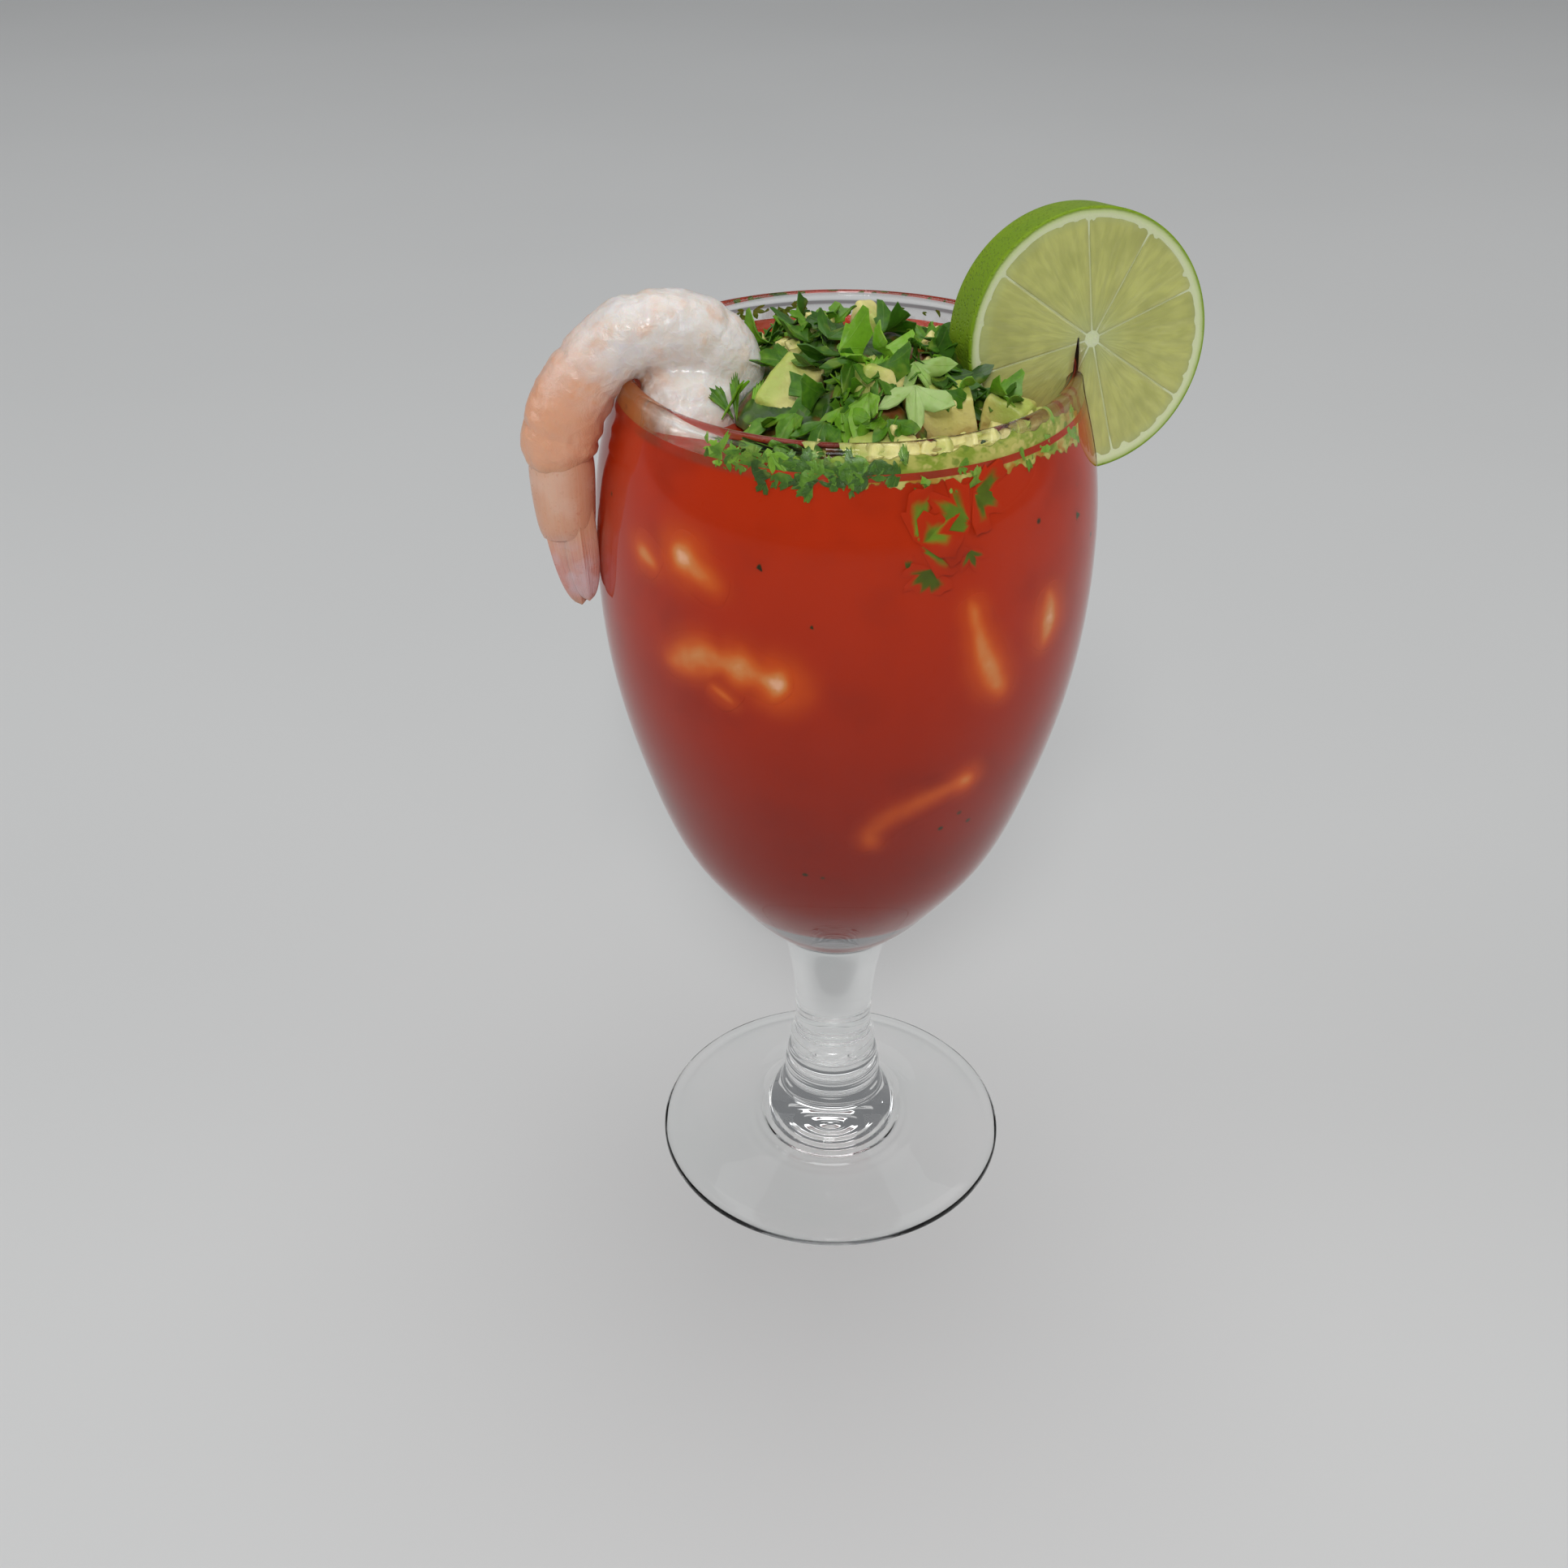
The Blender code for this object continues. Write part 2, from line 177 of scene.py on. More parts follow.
# Avocado dice: how round their edges are, how far their faces are out of true, and (middle, size, turn in
# degrees about X, Y and Z) of each node in order.
DICE_EDGE = 0.0010
DICE_SKEW = 0.07
DICE = (
    ((-0.0098, -0.0155, 0.1795), (0.0135, 0.0085, 0.0085), (18, -22, 62)),
    ((0.0050, 0.0110, 0.1822), (0.0125, 0.0050, 0.0055), (-10, 24, -48)),
    ((0.0146, 0.0086, 0.1796), (0.0070, 0.0060, 0.0065), (12, -8, 25)),
    ((0.0042, -0.0212, 0.1838), (0.0080, 0.0068, 0.0065), (-14, 18, 20)),
    ((0.0149, -0.0205, 0.1789), (0.0116, 0.0086, 0.0084), (10, -9, 10)),
    ((0.0264, -0.0181, 0.1773), (0.0078, 0.0074, 0.0076), (-8, 12, -24)),
    ((0.0145, 0.0180, 0.1760), (0.0095, 0.0080, 0.0080), (9, 14, 35)),
    ((0.0060, -0.0318, 0.1752), (0.0115, 0.0080, 0.0080), (14, -6, 8)),
    ((0.0176, -0.0293, 0.1740), (0.0088, 0.0078, 0.0080), (-12, 10, 28)),
    ((-0.0055, -0.0018, 0.1778), (0.0110, 0.0095, 0.0085), (8, 12, -15)),
    ((0.0075, -0.0062, 0.1770), (0.0095, 0.0090, 0.0090), (-6, -12, 40)),
)

# Coriander heap: its middle and reach in X and Y, its reach at the wall, and its heights. No loose piece goes
# below HEAP_LOWEST_Z.
HEAP_MIDDLE = (0.0015, -0.0065)
HEAP_REACH = (0.0235, 0.0270)
HEAP_WALL_REACH = 0.0362
HEAP_BASE_Z = 0.1757
HEAP_TOP_Z = 0.1880
HEAP_LOWEST_Z = 0.1725

# Where the goblet is mostly looked at from, and the dice that loose leaves leave open to that place.
SEEN_FROM = (0.0, -0.2988, 0.2850)
SHOWN_DICE = (0, 1, 4)

# Prawns sunk in the sauce, seen at the wall: stations of bearing in degrees, height, half width, and how bare
# of sauce the flesh is there, from 0 to 1.
SUNK_PRAWNS = (
    (
        (-143.5, 0.1566, 0.0008, 0.0), (-140.5, 0.1566, 0.0013, 0.62), (-136.8, 0.1556, 0.0010, 0.55),
        (-134, 0.1545, 0.0008, 0.0),
    ),
    (
        (-132, 0.1600, 0.0010, 0.0), (-128.0, 0.1590, 0.0020, 0.92), (-123.8, 0.1574, 0.0017, 0.62),
        (-118.5, 0.1556, 0.0018, 0.28), (-115, 0.1550, 0.0010, 0.0),
    ),
    (
        (-134, 0.1370, 0.0012, 0.0), (-129.3, 0.1392, 0.0022, 0.46), (-122.5, 0.1416, 0.0026, 0.68),
        (-117.0, 0.1420, 0.0019, 0.56), (-112.6, 0.1416, 0.0026, 0.76), (-107.6, 0.1406, 0.0017, 0.56),
        (-103.6, 0.1396, 0.0022, 1.0), (-100.5, 0.1388, 0.0010, 0.0),
    ),
    (
        (-120.6, 0.1372, 0.0004, 0.0), (-118.6, 0.1362, 0.0006, 0.42), (-115.4, 0.1348, 0.0006, 0.36),
        (-113.6, 0.1336, 0.0004, 0.0),
    ),
    (
        (-62.4, 0.1548, 0.0006, 0.0), (-61.2, 0.1524, 0.0010, 0.46), (-59.4, 0.1478, 0.0012, 0.52),
        (-57.6, 0.1436, 0.0016, 0.66), (-54.6, 0.1386, 0.0017, 0.70), (-51.6, 0.1352, 0.0014, 0.42),
        (-49.6, 0.1336, 0.0008, 0.0),
    ),
    (
        (-39.6, 0.1520, 0.0006, 0.0), (-38.6, 0.1490, 0.0014, 0.56), (-37.8, 0.1450, 0.0018, 0.88),
        (-38.8, 0.1418, 0.0013, 0.52), (-40.0, 0.1395, 0.0006, 0.0),
    ),
    (
        (-54.6, 0.1182, 0.0008, 0.0), (-57.2, 0.1171, 0.0015, 0.56), (-61.0, 0.1162, 0.0014, 0.30),
        (-68.0, 0.1144, 0.0020, 0.25), (-76.0, 0.1116, 0.0022, 0.22), (-80.4, 0.1084, 0.0019, 0.22),
        (-81.0, 0.1050, 0.0016, 0.25), (-79.0, 0.1028, 0.0008, 0.0),
    ),
    (
        (16, 0.1540, 0.0010, 0.0), (24, 0.1572, 0.0022, 0.60), (32, 0.1585, 0.0020, 0.45),
        (40, 0.1578, 0.0024, 0.80), (48, 0.1548, 0.0018, 0.60), (53, 0.1520, 0.0008, 0.0),
    ),
    (
        (78, 0.1290, 0.0010, 0.0), (86, 0.1318, 0.0022, 0.70), (94, 0.1330, 0.0018, 0.40),
        (102, 0.1322, 0.0024, 0.85), (110, 0.1290, 0.0016, 0.50), (116, 0.1250, 0.0008, 0.0),
    ),
    (
        (140, 0.1480, 0.0010, 0.0), (147, 0.1520, 0.0020, 0.66), (154, 0.1540, 0.0016, 0.40),
        (161, 0.1545, 0.0022, 0.78), (170, 0.1515, 0.0010, 0.0),
    ),
)

# How deep a sunk prawn is behind its skin at the wall, and how far the glow of its flesh spreads.
SUNK_DEPTH = 0.0070
SUNK_HALO = 0.0042

# The sauce's side has fine rings down to this height, the next ring is a gap lower, and the flesh glows down
# to a third height.
SAUCE_FINE_LOW_Z = 0.0880
SAUCE_RING_GAP = 0.0008
SAUCE_GLOW_LOW_Z = 0.0860


def smooth_path(stations, steps):
    """Points along a Catmull-Rom curve through the stations, which may have any number of values."""
    points = [Vector(station) for station in stations]
    points = [2 * points[0] - points[1]] + points + [2 * points[-1] - points[-2]]
    path = []
    for before, start, end, after in zip(points, points[1:], points[2:], points[3:]):
        for step in range(steps):
            t = step / steps
            path.append(
                0.5
                * (
                    2 * start
                    + (end - before) * t
                    + (2 * before - 5 * start + 4 * end - after) * t * t
                    + (3 * start - before - 3 * end + after) * t * t * t
                )
            )
    return path + [points[-2]]


def arc(centre, radius, start, end, steps):
    """Points (r, z) on an arc, from one angle to another, both in degrees and both included."""
    angles = [math.radians(start + (end - start) * i / steps) for i in range(steps + 1)]
    return [Vector((centre[0] + radius * math.cos(a), centre[1] + radius * math.sin(a))) for a in angles]


INSIDE = np.array([tuple(p) for p in reversed(smooth_path(BOWL_INSIDE, 8))])


def inside_radius(height):
    """The bowl's inner radius at a height, or at each of many."""
    return np.interp(height, INSIDE[:, 1], INSIDE[:, 0])


def polar(radius, bearing, height):
    return np.stack([radius * np.cos(bearing), radius * np.sin(bearing), height], axis=1)


def ease(low, high, value):
    """A smooth step from 0 at low to 1 at high."""
    t = np.clip((value - low) / (high - low), 0, 1)
    return t * t * (3 - 2 * t)


def grain(points, scale, seed=0.0):
    """Smooth noise from -1 to 1 at each point, with features about 1 / scale across."""
    shift = Vector((seed, 1.7 * seed, -seed))
    return np.array([noise.noise(Vector(p) * scale + shift) for p in points])


# Modelling helpers


def deselect():
    bpy.ops.object.select_all(action="DESELECT")


@contextmanager
def editing(made, select="SELECT"):
    """Edit mode on one piece, with all or none of it selected."""
    deselect()
    made.select_set(True)
    bpy.context.view_layer.objects.active = made
    bpy.ops.object.mode_set(mode="EDIT")
    bpy.ops.mesh.select_all(action=select)
    yield
    bpy.ops.object.mode_set(mode="OBJECT")


def read_points(made):
    found = np.empty(len(made.data.vertices) * 3)
    made.data.vertices.foreach_get("co", found)
    return found.reshape(-1, 3)


def write_points(made, points):
    made.data.vertices.foreach_set("co", np.asarray(points, float).ravel())
    made.data.update()


def note(made, name, values):
    """Keeps a number or a vector for each point, for the piece's material to read."""
    values = np.asarray(values, np.float32)
    kind = "FLOAT" if values.ndim == 1 else "FLOAT_VECTOR"
    held = made.data.attributes.new(name, kind, "POINT")
    held.data.foreach_set("value" if values.ndim == 1 else "vector", values.ravel())


def grid(name, columns, rows, shape):
    """A grid whose points shape(across, along) places. Both run from 0 to 1."""
    deselect()
    bpy.ops.mesh.primitive_grid_add(x_subdivisions=columns, y_subdivisions=rows, size=1)
    made = bpy.context.object
    made.name = name
    at = read_points(made)
    write_points(made, shape(at[:, 0] + 0.5, at[:, 1] + 0.5))
    return made


def grid_shares(columns, rows):
    """How far across and along a grid each of its points is, from 0 to 1, in the order of the points."""
    at = np.indices((rows + 1, columns + 1)).reshape(2, -1)
    return at[1] / columns, at[0] / rows


def close(made, within=1e-6):
    """Merges seams and poles, fills open ends and turns all faces outwards."""
    with editing(made):
        bpy.ops.mesh.remove_doubles(threshold=within)
        bpy.ops.mesh.fill_holes(sides=0)
        bpy.ops.mesh.normals_make_consistent(inside=False)


def turned(name, outline, sides):
    """A body spun about Z from an outline of (radius, height) points, both ends on the axis."""
    deselect()
    bpy.ops.mesh.primitive_circle_add(vertices=len(outline), radius=1)
    made = bpy.context.object
    made.name = name
    write_points(made, [(r, 0, z) for r, z in outline])
    bpy.context.scene.tool_settings.mesh_select_mode = (False, True, False)
    last = {0, len(outline) - 1}
    for edge in made.data.edges:
        edge.select = set(edge.vertices) == last
    bpy.ops.object.mode_set(mode="EDIT")
    bpy.ops.mesh.delete(type="EDGE")
    bpy.ops.mesh.select_all(action="SELECT")
    bpy.ops.mesh.spin(steps=sides, angle=math.tau, center=(0, 0, 0), axis=(0, 0, 1))
    bpy.ops.object.mode_set(mode="OBJECT")
    close(made)
    return made


def tube(name, sides, rings, middle, back, side, thick, wide, relief=None):
    """A body round a middle line, still open at its seam. Each of middle, back, side, thick and wide has one
    row a ring, and relief(along, turn) adds to the radius at each point."""

    def shape(across, along):
        ring = np.rint(along * rings).astype(int)
        turn = math.tau * across
        extra = relief(along, turn) if relief else 0.0
        up = (thick[ring] + extra) * np.cos(turn)
        out = (wide[ring] + extra) * np.sin(turn)
        return middle[ring] + back[ring] * up[:, None] + side[ring] * out[:, None]

    made = grid(name, sides, rings, shape)
    note(made, "along", grid_shares(sides, rings)[1])
    return made


def apply_modifier(made, kind, **settings):
    deselect()
    made.select_set(True)
    bpy.context.view_layer.objects.active = made
    modifier = made.modifiers.new(kind.title(), kind)
    for name, value in settings.items():
        setattr(modifier, name, value)
    bpy.ops.object.modifier_apply(modifier=modifier.name)


def take(made):
    """A piece's points, faces and noted values as arrays. The piece itself is removed."""
    faces = [tuple(face.vertices) for face in made.data.polygons]
    notes = {}
    for held in made.data.attributes:
        number, vector = held.data_type == "FLOAT", held.data_type == "FLOAT_VECTOR"
        if held.domain == "POINT" and (number or vector) and held.name != "position":
            values = np.empty(len(made.data.vertices) * (1 if number else 3), np.float32)
            held.data.foreach_get("value" if number else "vector", values)
            notes[held.name] = values if number else values.reshape(-1, 3)
    points = read_points(made)
    bpy.data.objects.remove(made)
    return points, faces, notes


def joined(name, parts):
    """One piece from many (points, faces, notes)."""
    points, faces, start = [], [], 0
    for part_points, part_faces, _ in parts:
        points.append(part_points)
        faces += [tuple(start + i for i in face) for face in part_faces]
        start += len(part_points)
    mesh = bpy.data.meshes.new(name)
    mesh.from_pydata(np.concatenate(points).tolist(), [], faces)
    made = bpy.data.objects.new(name, mesh)
    bpy.context.scene.collection.objects.link(made)
    for key in parts[0][2]:
        note(made, key, np.concatenate([part[2][key] for part in parts]))
    return made


def keep(made, finish, replaced=(), angle=40):
    """Gives a finished piece its material and its body in the frame."""
    deselect()
    made.select_set(True)
    bpy.context.view_layer.objects.active = made
    bpy.ops.object.shade_smooth_by_angle(angle=math.radians(angle))
    made.data.materials.clear()
    made.data.materials.append(finish)
    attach(made, "root")
    if replaced:
        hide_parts(*replaced)
    return made


# Material helpers


class Signal:
    """One output in a material's nodes. Sums and products of signals add Math nodes."""

    def __init__(self, finish, output):
        self.finish = finish
        self.output = output

    def math(self, operation, *terms):
        return self.finish.node("ShaderNodeMath", {"operation": operation}, dict(enumerate(terms)))

    def __add__(self, other):
        return self.math("ADD", self, other)

    def __sub__(self, other):
        return self.math("SUBTRACT", self, other)

    def __rsub__(self, other):
        return self.math("SUBTRACT", other, self)

    def __mul__(self, other):
        return self.math("MULTIPLY", self, other)

    def __truediv__(self, other):
        return self.math("DIVIDE", self, other)

    def __pow__(self, other):
        return self.math("POWER", self, other)

    def sine(self):
        return self.math("SINE", self)

    def size(self):
        return self.math("ABSOLUTE", self)

    def step(self, low, high):
        """A smooth step from 0 at low to 1 at high."""
        inputs = {"Value": self, "From Min": low, "From Max": high}
        return self.finish.node("ShaderNodeMapRange", {"interpolation_type": "SMOOTHSTEP"}, inputs)

    __radd__ = __add__
    __rmul__ = __mul__


class Finish:
    """A node material. Signals come from its methods, and surface() feeds them to the Principled shader."""

    def __init__(self, title, **constants):
        self.material = bpy.data.materials.new(title)
        self.material.use_nodes = True
        self.tree = self.material.node_tree
        self.shader = self.tree.nodes["Principled BSDF"]
        for name, value in constants.items():
            socket = name.replace("_", " ").title().replace("Ior", "IOR")
            self.shader.inputs[socket].default_value = value

    def node(self, kind, settings=None, inputs=None, output=0):
        made = self.tree.nodes.new(kind)
        for name, value in (settings or {}).items():
            if name == "stops":
                self.set_stops(made.color_ramp, value)
            else:
                setattr(made, name, value)
        for name, value in (inputs or {}).items():
            socket = made.inputs[name]
            if isinstance(value, Signal):
                self.tree.links.new(value.output, socket)
            elif socket.type == "RGBA":
                socket.default_value = (*value, 1.0)
            else:
                socket.default_value = value
        return Signal(self, made.outputs[output])

    def set_stops(self, ramp, stops):
        while len(ramp.elements) < len(stops):
            ramp.elements.new(1.0)
        for element, (position, colour) in zip(ramp.elements, stops):
            element.position = position
            element.color = (*colour, 1.0)

    def place(self, scale=(1, 1, 1)):
        """Object coordinates, stretched by scale."""
        at = self.node("ShaderNodeTexCoord", output="Object")
        return self.node("ShaderNodeMapping", None, {"Vector": at, "Scale": scale})

    def height(self):
        at = self.node("ShaderNodeTexCoord", output="Object")
        return self.node("ShaderNodeSeparateXYZ", None, {0: at}, "Z")

    def noted(self, name, output="Fac"):
        return self.node("ShaderNodeAttribute", {"attribute_name": name}, None, output)

    def parts_of(self, name):
        """The three numbers of a noted vector."""
        vector = self.noted(name, "Vector")
        return [self.node("ShaderNodeSeparateXYZ", None, {0: vector}, axis) for axis in "XYZ"]

    def noise(self, at, scale, detail=2.0, roughness=0.5, distortion=0.0):
        inputs = {"Vector": at, "Scale": scale, "Detail": detail, "Roughness": roughness}
        return self.node("ShaderNodeTexNoise", None, {**inputs, "Distortion": distortion})

    def cells(self, at, scale, feature="F1"):
        return self.node("ShaderNodeTexVoronoi", {"feature": feature}, {"Vector": at, "Scale": scale})

    def mix(self, factor, first, second):
        """A colour between two, at a factor from 0 to 1."""
        return self.node("ShaderNodeMix", {"data_type": "RGBA"}, {0: factor, 6: first, 7: second}, 2)

    def ramp(self, value, *stops):
        return self.node("ShaderNodeValToRGB", {"stops": stops}, {0: value})

    def bump(self, height, distance, strength=1.0):
        inputs = {"Height": height, "Distance": distance, "Strength": strength}
        return self.node("ShaderNodeBump", None, inputs)

    def surface(self, colour, roughness=None, normal=None, **more):
        links = {"Base Color": colour, "Roughness": roughness, "Normal": normal, **more}
        for name, value in links.items():
            if value is not None:
                self.tree.links.new(value.output, self.shader.inputs[name.replace("_", " ")])
        return self.material

    def let_lamps_through(self):
        """Lamps and soft light shine through clear glass as through air, so that what it holds is lit."""
        shadow = self.node("ShaderNodeLightPath", output="Is Shadow Ray")
        path = shadow.math("MAXIMUM", shadow, self.node("ShaderNodeLightPath", output="Is Diffuse Ray"))
        clear = self.node("ShaderNodeBsdfTransparent")
        shader = Signal(self, self.shader.outputs[0])
        both = self.node("ShaderNodeMixShader", None, {0: path, 1: shader, 2: clear})
        self.tree.links.new(both.output, self.tree.nodes["Material Output"].inputs["Surface"])
        return self.material


# Settings that a user would change


def length(name, default, description):
    return FloatProperty(name=name, default=default, description=description, unit="LENGTH", precision=5)


def colour(name, default, description):
    return FloatVectorProperty(
        name=name, default=default, description=description, subtype="COLOR", size=3, min=0, max=1
    )


class CocktailGoblet(bpy.types.PropertyGroup):
    sides: IntProperty(name="Sides", default=160, min=24, max=360, description="Steps round the turned glass")
    hollow: length("Hollow", 0.0007, "Height of the shallow hollow under the foot")
    tint: colour("Tint", (0.970, 0.988, 0.984), "Colour of the glass where light crosses it")


class CocktailSauce(bpy.types.PropertyGroup):
    level: length("Level", 0.1750, "Height of the sauce's surface")
    reach: length("Reach", 0.00015, "How far the sauce goes into the wall, so that no air shows between")
    climb: length("Climb", 0.0009, "How far the sauce's edge climbs the wall")
    film: length("Film", 0.0052, "Height of the highest smear above the sauce")
    bright: colour("Bright", (0.500, 0.028, 0.0018), "Sauce near its surface")
    deep: colour("Deep", (0.270, 0.012, 0.0010), "Sauce lower down")
    glow: colour("Glow", (0.640, 0.075, 0.004), "Thin sauce over something pale")
    smear: colour("Smear", (0.560, 0.200, 0.030), "Thin sauce left on the glass")


class CocktailPrawn(bpy.types.PropertyGroup):
    bearing: FloatProperty(
        name="Bearing", default=math.radians(195), subtype="ANGLE", description="Where it hangs on the rim"
    )
    pitch: length("Segment pitch", 0.0112, "Length of one segment of the body")
    groove: length("Groove", 0.00036, "Depth of the joints between segments")
    flesh: colour("Flesh", (0.830, 0.760, 0.690), "Cooked flesh")
    salmon: colour("Salmon", (0.790, 0.400, 0.240), "Flesh and shell near the tail")
    pink: colour("Pink", (0.600, 0.190, 0.160), "Stripes on the tail")


class CocktailLime(bpy.types.PropertyGroup):
    radius: length("Radius", 0.02220, "Outer radius of the wheel")
    thickness: length("Thickness", 0.0093, "Thickness of the wheel")
    pulp: length("Pulp radius", 0.0206, "Radius of the juicy middle")
    yaw: FloatProperty(name="Yaw", default=math.radians(20.1), subtype="ANGLE", description="Turn about Z")
    lean: FloatProperty(name="Lean", default=math.radians(8.2), subtype="ANGLE", description="Lean backwards")
    middle: FloatVectorProperty(
        name="Middle", default=(0.0409, -0.0034, 0.1857), subtype="XYZ", unit="LENGTH", precision=5,
        description="Middle of the wheel's front face",
    )
    rind: colour("Rind", (0.270, 0.440, 0.004), "Waxy outside")
    # Darker rind: random darker patches, and painted shade towards the wheel's left side.
    dark_and_shaded_rind: colour("Dark rind", (0.190, 0.370, 0.004), "Darker parts of the rind")
    pith: colour("Pith", (0.700, 0.780, 0.440), "Pith, core and membranes")
    flesh: colour("Flesh", (0.575, 0.590, 0.185), "Juice sacs")


class CocktailTopping(bpy.types.PropertyGroup):
    leaves: IntProperty(name="Leaves", default=175, min=0, max=400, description="Chopped leaves on the heap")
    stalks: IntProperty(name="Stalks", default=16, min=0, max=120, description="Chopped stalks in the heap")
    crumbs: IntProperty(name="Crumbs", default=50, min=0, max=200, description="Small bits of avocado")
    leaf: length("Leaf length", 0.0060, "Length of a middling piece of leaf")
    thickness: length("Leaf thickness", 0.00022, "Thickness of a leaf")
    dark: colour("Dark leaf", (0.050, 0.155, 0.007), "Darkest leaves")
    bright: colour("Bright leaf", (0.200, 0.440, 0.018), "Brightest leaves")
    pale: colour("Pale leaf", (0.440, 0.600, 0.220), "Pale undersides and stalks")
    butter: colour("Avocado", (0.860, 0.760, 0.290), "Avocado near the stone")
    green: colour("Avocado green", (0.460, 0.540, 0.100), "Avocado near the skin")


GROUPS = {
    "cocktail_goblet": CocktailGoblet,
    "cocktail_sauce": CocktailSauce,
    "cocktail_prawn": CocktailPrawn,
    "cocktail_lime": CocktailLime,
    "cocktail_topping": CocktailTopping,
}


# Goblet


def goblet_outline(goblet):
    """The whole profile from the axis under the foot, round the lip and down to the bowl's floor. The foot
    stands on its outer ring; inside that it is hollowed, with the faint rings of the mould under the stem."""
    top = goblet.hollow
    under = []
    for radius in np.linspace(0, MOULD_REACH, 42):
        rings = 0.00016 * math.sin(radius / 0.00042) * math.exp(-((radius / 0.0150) ** 4))
        under.append((float(radius), top + 0.00045 * (1 - (radius / MOULD_REACH) ** 2) + rings))
    under += [(0.0222, top), (0.0250, top), (0.0300, top * 0.97), (0.0330, top * 0.85), (0.0345, top * 0.5)]
    under += [(0.0351, top * 0.2), (0.0356, FOOT_LOWEST_Z)]
    outside = smooth_path(FOOT_OUTSIDE, 5)[:-1] + smooth_path(STEM_OUTSIDE, 4)[:-1]
    outside = [(r, max(z, FOOT_LOWEST_Z)) for r, z in outside]
    outside += [(min(r, BOWL_WIDEST), z) for r, z in smooth_path(BOWL_OUTSIDE, 9)[:-1]]
    lip = arc(LIP_CENTRE, LIP_RADIUS, 0, 180, 14)
    return under + outside + lip + smooth_path(BOWL_INSIDE, 8) + [(0, BOWL_FLOOR_Z)]


def glass_finish(goblet):
    finish = Finish(
        "goblet_glass",
        roughness=0.012,
        ior=1.5,
        transmission_weight=1.0,
        specular_tint=(0.26, 0.26, 0.26, 1),
    )
    haze = finish.noise(finish.place(), 45, 3)
    ripple = finish.noise(finish.place((1, 1, 0.35)), 38, 1)
    body = finish.mix(haze.step(0.35, 0.7), tuple(goblet.tint), (1, 1, 1))
    finish.surface(body, normal=finish.bump(ripple, 0.0004, 0.25))
    return finish.let_lamps_through()


class COCKTAIL_OT_goblet(bpy.types.Operator):
    """Turns the clear glass goblet"""

    bl_idname = "cocktail.goblet"
    bl_label = "Goblet"

    def execute(self, context):
        goblet = context.scene.cocktail_goblet
        made = turned("goblet_glass", goblet_outline(goblet), goblet.sides)
        keep(made, glass_finish(goblet), ["goblet"], angle=60)
        return {"FINISHED"}


# Sauce


def sunk_path(stations, steps=14):
    return np.array([tuple(p) for p in smooth_path(stations, steps)])


def near_sunk_prawns(points):
    """How near each point of the sauce's side is to the flesh under it, from 0 far off to 1 on it."""
    near = np.zeros(len(points))
    for stations in SUNK_PRAWNS:
        path = sunk_path(stations, 6)
        line = polar(inside_radius(path[:, 1]), np.radians(path[:, 0]), path[:, 1])
        gap = np.linalg.norm(points[:, None] - line[None], axis=2)
        spread = path[:, 2] + SUNK_HALO * (0.35 + 0.65 * np.clip(path[:, 3], 0, 1))
        glow = np.exp(-((gap / spread) ** 2)) * (0.25 + 0.75 * np.clip(path[:, 3], 0, 1) ** 0.7)
        near = np.maximum(near, glow.max(axis=1))
    return near


def sauce_colour(finish, sauce):
    """The sauce's own colour, cloudy and deeper lower down, which glows over the flesh that lies in it."""
    at = finish.place()
    depth = finish.height()
    cloud = finish.noise(at, 55, 3, 0.55)
    body = finish.mix((depth + cloud * 0.03).step(0.100, 0.190), tuple(sauce.deep), tuple(sauce.bright))
    body = finish.mix(cloud.step(0.45, 0.8) * 0.45, body, (0.150, 0.006, 0.001))
    speck = finish.noise(at, 1100, 2, 0.6)
    body = finish.mix(speck.step(0.60, 0.80) * 0.14, body, (0.46, 0.050, 0.007))
    glow = finish.noted("glow") * (finish.noise(at, 240, 2) * 0.5 + 0.75)
    return finish.mix(glow.step(0.08, 1.0), body, tuple(sauce.glow))


def sauce_level_at(points, sauce):
    """The surface's height: slow waves, small ripples, and a climb at the wall."""
    x, y = points[:, 0], points[:, 1]
    out = np.hypot(x, y) / inside_radius(sauce.level)
    waves = 0.00022 * np.sin(190 * x + 60 * y) + 0.00018 * np.sin(240 * y - 110 * x + 1)
    fine = 0.00022 * grain(points, 330, 3) + 0.00010 * grain(points, 900, 5)
    edge = sauce.climb * ease(0.93, 1.0, out) ** 2
    return sauce.level + (waves + fine) * (1 - ease(0.95, 1.0, out)) + edge


def turn_between(bearing, middle):
    """The turn from a bearing to another in degrees, the short way."""
    return (bearing - math.radians(middle) + math.pi) % math.tau - math.pi


def sauce_finish(sauce):
    finish = Finish("cocktail_sauce", coat_roughness=0.10, specular_ior_level=0.12)
    at = finish.place()
    top = finish.height().step(sauce.level - 0.0012, sauce.level - 0.0002)
    body = sauce_colour(finish, sauce)
    seeds = 1 - finish.cells(at, 150).step(0.05, 0.11)
    seeds = seeds * finish.noise(at, 35, 0).step(0.60, 0.66)
    body = finish.mix(seeds, body, (0.055, 0.030, 0.008))
    browned = finish.noise(at, 90, 3).step(0.35, 0.65) * top * 0.55
    body = finish.mix(browned, body, (0.170, 0.040, 0.012))
    relief = finish.noise(at, 420, 4, 0.65)
    pulp = finish.noise(at, 900, 2, 0.6)
    bump = finish.bump(relief * top, 0.00025, 0.5)
    return finish.surface(body, pulp * 0.18 + 0.22, bump, Coat_Weight=top * 0.35)


